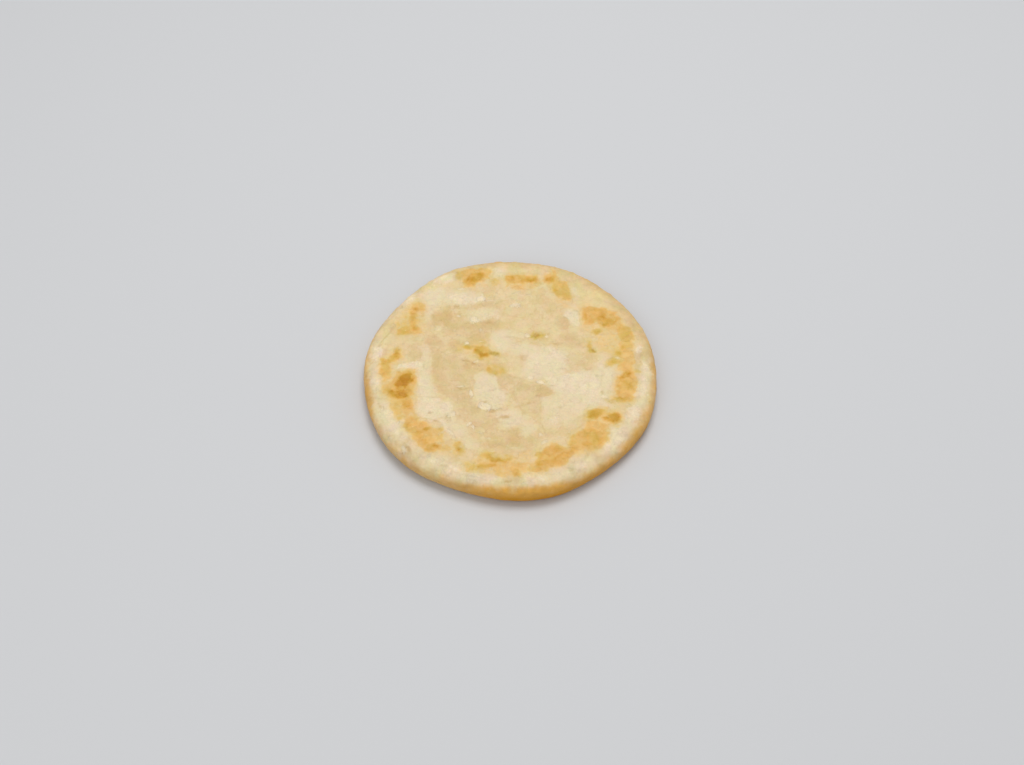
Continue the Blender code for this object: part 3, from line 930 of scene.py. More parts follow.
@dataclass
class CrustRelief:
    """The lumps, blisters, flakes and layer lines that stand on the bare form."""

    noise: DoughNoise
    radius: float
    lumps: tuple[tuple[float, float], ...] = ((7.5, 0.13), (3.3, 0.10), (1.5, 0.05))
    blister_height: float = 0.26
    flake_height: float = 0.22
    pane_depth: float = 0.16
    hollow_depth: float = 0.24
    bubble_height: float = 0.42  # of the small bubbles on the rim
    scrap_step: float = 0.18
    small_scrap_step: float = 0.11
    arc_pitch: float = 5.25
    arc_depth: float = 0.09
    arc_width: float = 0.20  # half a line's width, as a share of the pitch
    wrinkle_depth: float = 0.09
    layer_depth: float = 0.10
    layer_levels: tuple[float, ...] = (2.6, 4.3, 5.9, 7.6, 9.2)
    coil_ends: tuple[float, float] = (0.90, 0.74)  # where it is gone and in full, by radius
    creases: tuple[Crease, ...] = (
        Crease(((-69, 13), (-65.5, 18.5), (-62.6, 22.5), (-59.5, 29.5), (-57.5, 31)), 0.20, 0.7),
        Crease(((-70.8, 3), (-69.4, 5.4)), 0.18, 0.7),
        Crease(((-33, 40.6), (-18, 41.6), (-7, 44), (1, 45)), 0.12, 0.7),
        Crease(((-30, 30.4), (-24, 29.6), (-10, 29.8), (2, 30.4)), 0.08, 0.7),
        Crease(((-52.5, -52), (-50.5, -48.5)), 0.22, 0.7),
        Crease(((-56.5, -46), (-54, -42.5)), 0.16, 0.6),
        Crease(((-65.5, -28), (-63, -24)), 0.16, 0.6),
        Crease(((24.5, -24.5), (27.5, -22.6)), 0.10, 0.5),
    )

    def _lumpy(self, points: Array) -> Array:
        """The uneven height that the crust has everywhere."""
        return sum(height * self.noise.smooth(points, length) for length, height in self.lumps)

    def face(self, points: Array, marks: dict[str, Array]) -> tuple[Array, Array]:
        """Reads the relief of the face.

        Args:
            points: where it is read.
            marks: the shares of toast, pane, flour, hollow and scrap there.

        Returns:
            How far the crust stands up from the bare face, and how far each point is in a layer's
            end or a fold, where shade is painted, 0 to 1.
        """
        reach = reach_of(points) / self.radius
        inner = ease(reach, *self.coil_ends)
        arcs, wrinkles = self.arcs(points) * inner, self.wrinkles(points)
        blister = 1 + 0.35 * self.noise.smooth(across_plan(points) + 5.0, 2.4)
        bubble = self.noise.smooth(points + 61.0, 4.4) + 0.5 * self.noise.smooth(points + 67.0, 2.2)
        rise = self._lumpy(points)
        rise += self.blister_height * ease(marks["toast"], 0.15, 0.85) * blister
        rise += self.flake_height * ease(marks["flour"], 0.08, 0.42) * ease(reach, 0.96, 0.88)
        rise -= self.pane_depth * ease(marks["pane"], 0.20, 0.55)
        rise -= self.hollow_depth * marks["hollow"]
        rise += inner * self.scrap_step * (marks["scrap"] - 0.5)
        rise += inner * self.small_scrap_step * (marks["small_scrap"] - 0.5)
        rise += self.bubble_height * ease(bubble, -0.1, 0.9) * ease(reach, 0.80, 0.88)
        rise -= self.arc_depth * arcs + self.wrinkle_depth * wrinkles
        lines = np.maximum(0.16 * arcs, 0.10 * wrinkles)
        shown = 0.5 + 0.5 * ease(self.noise.smooth(points + 23.0, 3.4), -0.3, 0.3)
        for crease in self.creases:
            fold = crease.depth * crease.groove(points)
            rise -= fold
            lines = np.maximum(lines, 2.2 * shown * fold)
        return rise, lines

    def arcs(self, points: Array) -> Array:
        """Finds the coil's layer lines, where they show.

        Args:
            points: where they are read.

        Returns:
            One share for each point, 1 in a line and 0 beside it.
        """
        reach = reach_of(points)
        wander = 0.22 * self.noise.smooth(across_plan(points) + 31.0, 13.0)
        turn = reach / self.arc_pitch - 2 * bearing_of(points) / tau + wander
        line = ease(np.abs(turn - np.round(turn)), self.arc_width, 0.0)
        shown = ease(self.noise.smooth(across_plan(points) + 53.0, 15.0), 0.05, 0.45)
        return line * shown * ease(reach, 14.0, 24.0)

    def wrinkles(self, points: Array) -> Array:
        """Finds the short wrinkles across the rounded rim, where the dough was tucked.

        Args:
            points: where they are read.

        Returns:
            One share for each point, 1 in a wrinkle and 0 beside it.
        """
        reach = reach_of(points)
        strip = self.radius * heading_of(points) * (1 + 0.01 * points[:, 2:])
        strip = np.column_stack([strip, reach * 0.28])
        ridge = np.abs(self.noise.smooth(strip + 17.0, 4.2))
        shown = ease(self.noise.smooth(across_plan(points) + 7.0, 11.0), 0.0, 0.5)
        return ease(ridge, 0.28, 0.0) * shown * ease(reach / self.radius, 0.86, 0.95)

    def side(self, points: Array) -> tuple[Array, Array]:
        """Reads the relief of the side.

        Args:
            points: where it is read.

        Returns:
            How far the crust stands out from the bare rim, and how far each point is in one of
            the layer lines round it, 0 to 1.
        """
        strip = self.radius * heading_of(points)
        lines = np.zeros(len(points))
        for number, level in enumerate(self.layer_levels):
            place = np.column_stack([strip, np.full(len(strip), 40.0 * number)])
            wander = 0.75 * self.noise.smooth(place, 17.0) + 0.25 * self.noise.smooth(place, 5.0)
            line = ease(np.abs(points[:, 2] - level - wander), 0.55, 0.0)
            lines = np.maximum(lines, line * ease(self.noise.smooth(place + 9.0, 9.0), 0.0, 0.45))
        return self._lumpy(points) - self.layer_depth * lines, lines


@dataclass
class UndersideRelief:
    """The dents that stay off the griddle while the rest of the underside browns on it."""

    noise: DoughNoise
    radius: float
    dent_depth: float = 0.45
    dent_length: float = 13.0
    ring_place: float = 0.74
    ring_spread: float = 0.20

    def read(self, points: Array) -> tuple[Array, Array, Array]:
        """Reads the underside.

        Args:
            points: where it is read.

        Returns:
            How far each point is pressed up, how toasted it is, most in a ring, and how far it
            is in the outer stretch, which has the colour of the rim.
        """
        plan, reach = across_plan(points) + 400.0, reach_of(points) / self.radius
        swell = self.noise.smooth(plan, self.dent_length) + 0.35 * self.noise.smooth(plan, 5.0)
        dent = self.dent_depth * ease(swell, 0.0, 0.8) * ease(reach, 0.90, 0.84)
        ring = np.exp(-(((reach - self.ring_place) / self.ring_spread) ** 2))
        speckle = self.noise.layered(plan + 60.0, 7.0, 4, 0.6)
        touch = 0.30 + 0.75 * ring - 0.75 * swell + 0.45 * speckle
        toast = 0.95 * ease(touch, 0.25, 1.35) * ease(reach, 0.96, 0.86)
        wander = 0.06 * self.noise.smooth(plan + 30.0, 8.0)
        return dent, toast, np.maximum(ease(reach + wander, 0.76, 0.91), ease(reach, 0.87, 0.91))


# ----- The crust's mesh -----


def square_to_disc(steps: int) -> tuple[Array, Array]:
    """Lays a square grid out as even rings.

    Args:
        steps: how many rings the disc has.

    Returns:
        The radius, 0 to 1, and the bearing of each of the grid's points, row by row.
    """
    line = np.arange(-steps, steps + 1) / steps
    a, b = [grid.ravel() for grid in np.meshgrid(line, line, indexing="ij")]
    wide = np.abs(a) > np.abs(b)
    radius = np.where(wide, a, b)
    safe = np.where(radius == 0, 1.0, radius)
    bearing = np.where(wide, tau / 8 * b / safe, tau / 4 - tau / 8 * a / safe)
    bearing = np.where(radius < 0, bearing + tau / 2, bearing)
    return np.abs(radius), np.where(radius == 0, 0.0, bearing % tau)


def grid_faces(steps: int) -> Array:
    """Joins up a square grid of points.

    Args:
        steps: how many rings the disc that it was laid out as has.

    Returns:
        The four corners of each face.
    """
    side = 2 * steps + 1
    corner = np.arange(side * side).reshape(side, side)[:-1, :-1].ravel()
    return np.stack([corner, corner + side, corner + side + 1, corner + 1], axis=1)


def ring_faces(ring: Array, after: Array) -> Array:
    """The four corners of each face between two rings of points."""
    return np.stack([ring, after, np.roll(after, -1), np.roll(ring, -1)], axis=1)


def border(radius: Array, bearing: Array) -> Array:
    """The numbers of the disc's outermost points, in order of bearing from 0."""
    outer = np.flatnonzero(radius > 1 - 1e-9)
    return outer[np.argsort(np.round(bearing[outer], 9), kind="stable")]


def dress(name: str, mesh: Mesh, layers: dict[str, Array], finish: Material) -> Object:
    """Makes a finished piece of a mesh.

    Args:
        name: the piece's name.
        mesh: its mesh.
        layers: a value for each point, under each named layer that the finish reads.
        finish: its material.

    Returns:
        The piece.
    """
    for title, values in layers.items():
        layer = mesh.attributes.new(title, "FLOAT", "POINT")
        layer.data.foreach_set("value", values.astype(np.float32))
    mesh.materials.append(finish)
    mesh.shade_smooth()
    mesh.validate()
    return put(name, mesh)


@dataclass
class Crust:
    """The whole bread as one closed mesh, with every mark on it."""

    form: BreadForm
    noise: DoughNoise
    face_rings: int = 108
    edge_rows: int = 40
    step: float = 0.05  # along the rim, to either side of where its slope is read
    plain_foot: float = 2.0  # up to this height the relief fades in
    foot_ring_gap: float = 1.0  # from the foot's edge to the first ring under it
    map_share: float = 0.00465  # of the bake map's side, for a millimetre of crust
    under_map_share: float = 0.5  # how fine the underside is on the map, beside the rest
    map_margin: float = 0.004
    scrap_length: float = 5.4
    small_scrap_length: float = 2.4
    rim_starts: tuple[float, float] = (0.82, 0.90)  # shares of the radius, where face turns to rim
    rim_flour: float = 0.24
    rim_tan: float = 0.14
    side_starts: tuple[float, float] = (6.0, 10.5)  # down the rim, where face turns to side
    # the gold deepens low down partly as painted shade and a painted warm reflection
    low_down: tuple[float, float] = (9.4, 4.2)  # heights between which the gold deepens
    under_gold: float = 0.35  # how golden the underside is, away from the rim
    # the gold is partly the fried colour and partly painted light: its strength round the rim was set
    # against how light falls there
    # round the rim by bearing: how far down it the flour ends and the gold is full, how strong
    # the gold is, and how far it deepens low down
    gold_round: tuple[tuple[float, ...], ...] = (
        (-180, 2.6, 7.8, 0.62, 0.4), (-165, 1.6, 7, 0.86, 0.55), (-150, 4.2, 10.4, 0.36, 0.1),
        (-135, 4.8, 9.6, 0.58, 0.32), (-120, 4.6, 9.4, 0.48, 0.2), (-105, 3.2, 8.4, 0.7, 0.2),
        (-90, 1.8, 6.6, 1, 1), (-75, 2.6, 7.2, 1, 1), (-60, 4.4, 9.2, 0.82, 0.74),
        (-45, 2.6, 9.2, 0.8, 0.5), (-30, 0.8, 8.2, 0.8, 0.66), (-15, 1.4, 7.8, 0.56, 0.36),
        (0, 2.2, 7.4, 0.72, 0.4), (20, 3.4, 8.6, 0.5, 0.4), (60, 3, 7.8, 0.62, 0.5),
        (90, 2.6, 7.4, 0.65, 0.5), (120, 4.4, 9.4, 0.4, 0.4), (140, 4.4, 9.4, 0.4, 0.4),
        (160, 4.4, 9, 0.5, 0.4), (180, 2.6, 7.8, 0.62, 0.4),
    )
    marks: FaceMarks = field(init=False)
    relief: CrustRelief = field(init=False)
    under: UndersideRelief = field(init=False)

    def __post_init__(self) -> None:
        """Sets out the marks and the relief for this form."""
        self.marks = FaceMarks(self.noise)
        self.relief = CrustRelief(self.noise, self.form.radius)
        self.under = UndersideRelief(self.noise, self.form.radius)

    def face_marks(self, points: Array) -> dict[str, Array]:
        """What marks the upper face has at some points.

        Args:
            points: where they are read.

        Returns:
            A share for each point under each mark's name.
        """
        toast, lean = self.marks.toast(points)
        shares = {kind.value: self.marks.torn(points, kind) for kind in EDGES}
        plan = across_plan(points)
        ragged = plan + 0.8 * self.noise.smooth(plan + 3.0, 3.0)[:, None]
        _, scrap = self.noise.scraps(ragged, self.scrap_length)
        _, small = self.noise.scraps(ragged + 40.0, self.small_scrap_length)
        keep = 1 - ease(toast, 0.2, 0.5)
        rim = ease(reach_of(points) / self.form.radius, *self.rim_starts)
        mottle = self.noise.layered(points + 150.0, 11.0, 3, 0.8)
        flour = np.minimum(1.0, shares["flour"] + self.rim_flour * rim * ease(mottle, 0.0, 0.8))
        tan = shares["tan"] * (1 - 0.7 * flour) + self.rim_tan * rim * ease(-mottle, 0.1, 0.8)
        return {
            "toast": toast,
            "lean": lean,
            "pane_lean": self.marks.pane_lean(points),
            "rim": rim,
            "mottle": rim * mottle,
            "pane": shares["pane"] * keep * (1 - flour),
            "flour": flour * keep,
            "cream": shares["cream"] * keep,
            "tan": tan,
            "milk": shares["milk"] * (1 - shares["pane"]),
            "hollow": self.marks.hollows(points),
            "scrap": scrap,
            "small_scrap": small,
        }

    def on_face(self, places: Array) -> tuple[Array, dict[str, Array]]:
        """Finds the crust's surface over some places of the plan.

        Args:
            places: x and y of each place.

        Returns:
            The surface point over each place, and the marks there.
        """
        bare = (places - self.form.shift[:2]) / self.form.stretch[:2]
        bearings = bearing_of(bare)
        points, runs = self.form.top_point(reach_of(bare) / self.form.outline(bearings), bearings)
        marks = self.face_marks(points)
        to_side = ease(runs, *self.side_starts)
        rise = self.relief.face(points, marks)[0] * (1 - to_side)
        points[:, 2] += rise + self.relief.side(points)[0] * to_side
        return points, marks

    def _upper(self) -> tuple[Array, Array, Array]:
        """Lays out the face and the rim.

        Returns:
            Their points, the normals there, and how far round the rim each is.
        """
        radius, bearing = square_to_disc(self.face_rings)
        face = self.form.face_point(radius * self.form.face_radius, bearing)
        run = (radius - 1) * self.form.face_radius
        columns = tau * np.arange(8 * self.face_rings) / (8 * self.face_rings)
        runs = self.form.edge_run[-1] * np.arange(1, self.edge_rows + 1) / self.edge_rows
        outward = np.column_stack([np.cos(columns), np.sin(columns)])
        rows, normals = [face], [np.tile([0.0, 0.0, 1.0], (len(face), 1))]
        for r in runs:
            above, here, below = [self.form.edge_point(r + way * self.step, columns) for way in (-1, 0, 1)]
            rows.append(here)
            down = below - above
            level = (down[:, :2] * outward).sum(axis=1)
            normal = np.column_stack([outward * -down[:, 2:], level])
            normals.append(normal / np.linalg.norm(normal, axis=1, keepdims=True))
        runs = np.concatenate([run, np.repeat(runs, len(columns))])
        return np.concatenate(rows), np.concatenate(normals), runs

    def _underside(self) -> tuple[Array, dict[str, Array]]:
        """Lays out the underside, inside the foot's edge.

        Returns:
            Its points, and the marks there.
        """
        radius, bearing = square_to_disc(self.face_rings // 2)
        reach = self.form.radius * (1 - self.form.foot_share) - self.foot_ring_gap
        lower = self.form.foot_point(radius * reach, bearing)
        gold, low_down = self._gold(lower, np.full(len(lower), self.form.edge_run[-1]))
        dent, toast, edge = self.under.read(lower)
        patchy = self.noise.smooth(across_plan(lower) + 70.0, 9.0)
        marks = {
            "toast": toast,
            "pane": 0.6 * ease(patchy, 0.0, 0.5),
            "flour": 0.7 * ease(-patchy, 0.1, 0.6),
            "scrap": np.full(len(lower), 0.5),
            "side": self.under_gold + (gold - self.under_gold) * edge,
            "low": low_down * edge,
        }
        lower[:, 2] += dent
        return lower, marks

    def _faces(self) -> tuple[list[Sequence[int]], int]:
        """Joins the points up.

        Returns:
            Each face's points, and how many faces the top and rim have; the rest lie below.
        """
        rings, columns = self.face_rings, 8 * self.face_rings
        faces, edge = grid_faces(rings), border(*square_to_disc(rings))
        first_row = (2 * rings + 1) ** 2
        loops = [edge] + [first_row + m * columns + np.arange(columns) for m in range(self.edge_rows)]
        faces = np.concatenate([faces, *map(ring_faces, loops, loops[1:])])
        foot, first_under = loops[-1], first_row + self.edge_rows * columns
        inner = border(*square_to_disc(rings // 2)) + first_under
        a, b, c = foot[0::2], foot[1::2], np.roll(foot, -2)[0::2]
        i, j = inner, np.roll(inner, -1)
        band = [np.stack(t, axis=1) for t in ((a, i, b), (b, i, j), (b, j, c))]
        under = grid_faces(rings // 2)[:, ::-1] + first_under
        return np.concatenate([faces, under]).tolist() + np.concatenate(band).tolist(), len(faces)

    def _map(self, mesh: Mesh, points: Array, runs: Array, upper_faces: int) -> None:
        """Lays the crust out flat for baking: top and rim as one disc, the underside as another.

        Args:
            mesh: the crust.
            points: its points.
            runs: how far round the rim each point of the top and rim is.
            upper_faces: how many of its first faces, each of four corners, are on the top and rim.
        """
        out = self.form.edge_run[-1] + self.form.face_radius
        upper_middle = out * self.map_share + self.map_margin
        reach = np.zeros(len(points))
        reach[: len(runs)] = (runs + self.form.face_radius) * self.map_share
        upper = upper_middle + heading_of(points) * reach[:, None]
        share = self.map_share * self.under_map_share
        lower_middle = 1 - (self.form.radius * share + self.map_margin)
        lower = lower_middle + points[:, :2] * share
        corners = np.empty(len(mesh.loops), dtype=np.int32)
        mesh.loops.foreach_get("vertex_index", corners)
        is_upper = np.arange(len(corners)) < 4 * upper_faces
        places = np.where(is_upper[:, None], upper[corners], lower[corners])
        mesh.uv_layers.new(name=BAKE_MAP).data.foreach_set("uv", places.astype(np.float32).ravel())

    def _gold(self, points: Array, runs: Array) -> tuple[Array, Array]:
        """How golden the rim is at each point, paler where flour still sits on it.

        Args:
            points: the points of the top and rim.
            runs: how far round the rim each of them is.

        Returns:
            How golden each point is, and how much deeper the gold is low down, 0 to 1 each. Both are
            partly the fried colour and partly painted shade and a painted warm reflection.
        """
        stops = np.array(self.gold_round).T
        bearing = np.degrees(bearing_of(points))
        starts, full, share, deep = [np.interp(bearing, stops[0], column) for column in stops[1:]]
        patchy = 1 - 0.30 * ease(self.noise.smooth(points + 120.0, 6.0), 0.0, 0.7)
        wander = 0.9 * self.noise.smooth(points + 130.0, 5.0)
        golden = ease((runs + wander - starts) / (full - starts), 0.0, 1.0) * share * patchy
        return golden, ease(points[:, 2], *self.low_down) * deep

    def build(self, finish: Material) -> Object:
        """Makes the bread.

        Args:
            finish: the crust's material.

        Returns:
            The bread, with a named layer for each kind of mark.
        """
        upper, normals, runs = self._upper()
        marks = self.face_marks(upper)
        to_side = ease(runs, *self.side_starts)
        up = 1 - to_side
        face_rise, face_lines = self.relief.face(upper, marks)
        side_rise, side_lines = self.relief.side(upper)
        lines = np.maximum(face_lines * up, 0.3 * side_lines * to_side)
        rise = face_rise * up + side_rise * to_side
        gold, low_down = self._gold(upper, runs)
        upper = upper + normals * (rise * ease(upper[:, 2], 0.0, self.plain_foot))[:, None]
        lower, under = self._underside()
        faces, upper_faces = self._faces()
        points = np.concatenate([upper, lower])
        mesh = bpy.data.meshes.new("paratha_bread")
        mesh.from_pydata((points * MM).tolist(), [], faces)
        self._map(mesh, points, runs, upper_faces)
        shown = dict.fromkeys(marks, up)
        shown.update(rim=1.0, scrap=1.0, mottle=ease(runs, 14.0, 7.0), tan=ease(runs, 9.0, 5.0))
        del shown["small_scrap"]
        over = {name: marks[name] * share for name, share in shown.items()}
        # painted shade: folds and layer lines darken like the hollows
        over["hollow"] = np.maximum(over["hollow"], lines)
        over.update(side=gold, low=low_down * to_side, glint=np.zeros(len(upper)))
        none = np.zeros(len(lower))
        layers = {name: np.concatenate([values, under.get(name, none)]) for name, values in over.items()}
        return dress("paratha_bread", mesh, layers, finish)


# ----- The skins that stand up from the crust -----


@dataclass(frozen=True)
class Skin:
    """One small torn skin of dough, in millimetres from the bread's middle.

    x and y are its middle. It slopes down towards the bearing turn, reach is how far it goes
    that way and across how far to each side, lift is how high its free edge stands, and shine
    is how strong the highlight painted on it is.
    """

    x: float
    y: float
    reach: float
    across: float
    turn: float
    lift: float
    shine: float


# Placed one by one: the values of a Skin in each row
TORN_SKINS = (
    (-15.6, 45.1, 2.3, 2.6, -100, 0.36, 1), (-25.9, 51.7, 1, 2.1, -88, 0.2, 0.6),
    (-8.7, 44.6, 0.7, 3.6, -80, 0.16, 0.5), (-9.8, 46.8, 0.6, 2.9, -82, 0.14, 0.4),
    (3.2, 49.6, 0.7, 2.9, -62, 0.16, 0.5), (10.2, 48.2, 0.7, 2.7, -112, 0.16, 0.5),
    (2.6, 41.1, 1.6, 2.9, -92, 0.26, 0.7), (-18.7, 31.5, 2.4, 3.3, -88, 0.36, 1),
    (-27.4, 33.7, 1.5, 1.9, -96, 0.2, 0.5), (33.2, 52, 1.3, 1.6, -90, 0.19, 0.5),
    (33.3, 35.3, 2.5, 2.5, -90, 0.18, 0.4), (-15.3, 24.4, 1.8, 0.9, -90, 0.18, 0.4),
    (-22.2, 16.4, 1.7, 1.6, -95, 0.32, 1), (-14.6, 17.4, 0.8, 1.4, -88, 0.18, 0.5),
    (9.6, 21.1, 1.9, 1.7, -95, 0.26, 0.8), (18.9, 20.8, 1.6, 1, -90, 0.2, 0.7),
    (1.8, 15.4, 0.8, 1.4, -86, 0.16, 0.4), (-16.7, 4.7, 1.1, 2.1, -74, 0.26, 0.6),
    (54.8, 5.5, 1.1, 2.1, -95, 0.22, 0.6), (10.4, -6.2, 1.8, 1.6, -112, 0.32, 1),
    (15.7, -9.4, 1.4, 2.2, -100, 0.3, 1), (45, -6.2, 1.3, 0.7, -90, 0.16, 0.4),
    (-25.3, -11.7, 0.8, 2.1, -84, 0.22, 0.5), (-20, -15.6, 1.4, 2.2, -172, 0.3, 0.8),
    (-35.7, -19.4, 0.7, 1.1, -90, 0.18, 0.5), (26, -21.5, 0.8, 1.1, -90, 0.18, 0.7),
    (26.6, -24.1, 1.1, 1.3, -80, 0.2, 0.7), (32, -18.9, 0.8, 1.1, -95, 0.18, 0.5),
    (47.1, -19.4, 1.4, 1.8, -96, 0.26, 0.8), (69.4, -17.4, 0.9, 0.9, -60, 0.14, 0.6),
    (-13.1, -25, 2.6, 2.9, -112, 0.4, 1), (-6.2, -25.8, 0.6, 2.6, -86, 0.16, 0.4),
    (-28.9, -29.4, 2.3, 2.4, -76, 0.34, 0.8), (-63.9, -26.9, 0.7, 2.7, -176, 0.21, 0.7),
    (-20, -35, 1.6, 1.8, -58, 0.3, 0.9), (-18.4, -37.2, 1.2, 1.6, -150, 0.26, 0.8),
    (-1.2, -35.4, 1.1, 1.3, -90, 0.18, 0.5), (-32.2, -35.9, 1.5, 1.5, -60, 0.22, 0.5),
    (-29.6, -40.6, 1, 3.8, -148, 0.22, 0.5), (-14.3, -41, 1.1, 1.7, -112, 0.2, 0.4),
    (7.4, -40.1, 0.6, 1.4, -90, 0.14, 0.4), (15.1, -42.1, 1.5, 1.2, -80, 0.22, 0.6),
    (17.2, -46.8, 1.3, 1.8, -60, 0.2, 0.5), (29.3, -40.8, 1.3, 0.8, -90, 0.16, 0.4),
    (-59.1, -43.5, 0.8, 1.4, -120, 0.18, 0.4), (-52.2, -50.6, 1.1, 2.6, -166, 0.27, 0.6),
    (-39.9, -55.5, 1.1, 1.7, -110, 0.19, 0.4), (-34, -56.8, 0.9, 2.2, -98, 0.19, 0.4),
    (1.4, -50.1, 0.6, 2.9, -88, 0.14, 0.5), (-8.3, -52.2, 1.1, 2.7, -80, 0.16, 0.4),
    (9, -70.2, 0.9, 2.9, -88, 0.16, 0.5), (-18.9, -66.4, 1.4, 1.8, -96, 0.16, 0.3),
)


@dataclass
class LiftedSkins:
    """Small torn skins with one edge free of the crust, as one piece."""

    crust: Crust
    placed: tuple[Skin, ...] = tuple(Skin(*row) for row in TORN_SKINS)
    strewn: int = 48  # further small ones, anywhere on the face
    seed: int = 23
    spread: float = 69.0  # how far from the middle they lie
    toasted: float = 0.45  # none lies where it is more toasted than this
    rings: int = 4
    spokes: int = 24
    jagged: tuple[float, float] = (0.5, 1.4)  # how far out the corners of its edge lie
    ragged: float = 0.10
    sunk: float = 0.12  # how deep the held edge lies in the crust
    thick: float = 0.10
    thin: float = 0.05  # at its edge

    def _strew(self) -> list[Skin]:
        """Draws the further small skins.

        Returns:
            The skins, most of them sloping towards the viewer.
        """
        draw = np.random.default_rng(self.seed)
        found: list[Skin] = []
        while len(found) < self.strewn:
            radius, bearing = self.spread * np.sqrt(draw.random()), tau * draw.random()
            x, y = radius * np.cos(bearing), radius * np.sin(bearing)
            reach, across = draw.uniform(0.35, 0.9), draw.uniform(0.5, 1.5)
            turn, lift = draw.normal(-95, 40), draw.uniform(0.08, 0.20)
            shine = draw.uniform(0.1, 0.4)
            toast, _ = self.crust.marks.toast(np.array([[x, y, 0.0]]))
            if toast[0] < self.toasted:
                found.append(Skin(x, y, reach, across, turn, lift, shine))
        return found

    def _tear(self, number: int) -> Array:
        """Tears the edge of a skin.

        Args:
            number: which skin it is.

        Returns:
            How far out the jagged edge lies at each spoke, about 1.
        """
        draw = np.random.default_rng(self.seed + 100 * number)
        count = int(draw.integers(5, 9))
        corners = (np.arange(count) + draw.uniform(-0.3, 0.3, count)) / count
        reaches = draw.uniform(*self.jagged, count)
        spokes = np.arange(self.spokes) / self.spokes
        wide = np.interp(spokes, corners, reaches, period=1.0)
        return wide * (1 + self.ragged * draw.uniform(-1, 1, self.spokes))

    def _sheet(self, skin: Skin, number: int) -> tuple[Array, Array, Array]:
        """Lays one skin out.

        Args:
            skin: the skin.
            number: which one it is, so that no two tear alike.

        Returns:
            The places of its points on the plan, how far each is lifted, and how far out from
            its middle each lies, 0 to 1.
        """
        turns = tau * np.arange(self.spokes) / self.spokes
        shares = np.arange(1, self.rings + 1) / self.rings
        out = np.concatenate([[0.0], np.repeat(shares, self.spokes)])
        wide = np.concatenate([[1.0], np.tile(self._tear(number), self.rings)])
        turns = np.concatenate([[0.0], np.tile(turns, self.rings)])
        ahead, beside = out * wide * np.cos(turns), out * wide * np.sin(turns)
        c, s = np.cos(radians(skin.turn)), np.sin(radians(skin.turn))
        u, v = skin.reach * ahead, skin.across * beside
        places = np.column_stack([skin.x + u * c - v * s, skin.y + u * s + v * c])
        wave = np.column_stack([places, np.full(len(places), 5.0 * number)])
        curl = 0.85 + 0.25 * self.crust.noise.smooth(wave, 1.3)
        lift = -self.sunk + (skin.lift + self.sunk) * np.clip(0.5 - 0.5 * ahead, 0, 1) * curl
        return places, lift, out

    def _shell(self, first: int) -> tuple[list[list[int]], list[bool]]:
        """The faces of one closed skin, and whether each is smooth.

        Args:
            first: the number of its first point; its top's points come before its bottom's.

        Returns:
            The points of each face, and whether it is smooth; the thin edge isn't.
        """
        count = self.rings * self.spokes
        rings = (first + 1 + np.arange(count)).reshape(self.rings, self.spokes)
        fan = [np.full(self.spokes, first), rings[0], np.roll(rings[0], -1)]
        top = np.stack(fan, axis=1).tolist()
        top += np.concatenate(list(map(ring_faces, rings, rings[1:]))).tolist()
        bottom = [[point + 1 + count for point in face[::-1]] for face in top]
        edge = ring_faces(rings[-1], rings[-1] + 1 + count).tolist()
        return top + bottom + edge, [True] * 2 * len(top) + [False] * len(edge)

    def build(self, finish: Material) -> Object:
        """Makes the skins.

        Args:
            finish: the crust's material.

        Returns:
            All the skins as one mesh, with the same named layers as the crust.
        """
        skins = [*self.placed, *self._strew()]
        sheets = [self._sheet(skin, number) for number, skin in enumerate(skins)]
        places, lift, out = [np.concatenate(part) for part in zip(*sheets)]
        count = 1 + self.rings * self.spokes
        shine = np.repeat([skin.shine for skin in skins], count)
        top, marks = self.crust.on_face(places)
        top[:, 2] += lift
        bottom = top.copy()
        bottom[:, 2] -= self.thick + (self.thin - self.thick) * ease(out, 0.5, 1.0)
        # painted highlight: shine makes a skin paler, and brightest in its middle as a glint
        marks["flour"] = np.maximum(marks["flour"], shine)
        marks["glint"] = shine * (1 - 0.65 * ease(out, 0.25, 1.0))
        marks.update(dict.fromkeys(("hollow", "side", "low"), np.zeros(len(top))))
        del marks["small_scrap"]
        sides = [side.reshape(-1, count, 3) for side in (top, bottom)]
        points = np.concatenate(sides, axis=1).reshape(-1, 3)
        layers = {name: np.tile(values.reshape(-1, count), 2).ravel() for name, values in marks.items()}
        shells = [self._shell(2 * count * number) for number in range(len(skins))]
        mesh = bpy.data.meshes.new("lifted_skins")
        mesh.from_pydata((points * MM).tolist(), [], [face for shell in shells for face in shell[0]])
        piece = dress("lifted_skins", mesh, layers, finish)
        mesh.polygons.foreach_set("use_smooth", [smooth for shell in shells for smooth in shell[1]])
        return piece


# ----- Finishes -----


class Value:
    """What a node gives, which can be added, taken away and multiplied like a plain number."""

    def __init__(self, bench: "NodeBench", socket: NodeSocket) -> None:
        """Remembers the socket that gives it."""
        self.bench, self.socket = bench, socket

    def __add__(self, other: "Value | float") -> "Value":
        """The sum of both."""
        return self.bench.math("ADD", self, other)

    def __sub__(self, other: "Value | float") -> "Value":
        """This one less the other."""
        return self.bench.math("SUBTRACT", self, other)

    def __mul__(self, other: "Value | float") -> "Value":
        """The product of both."""
        return self.bench.math("MULTIPLY", self, other)


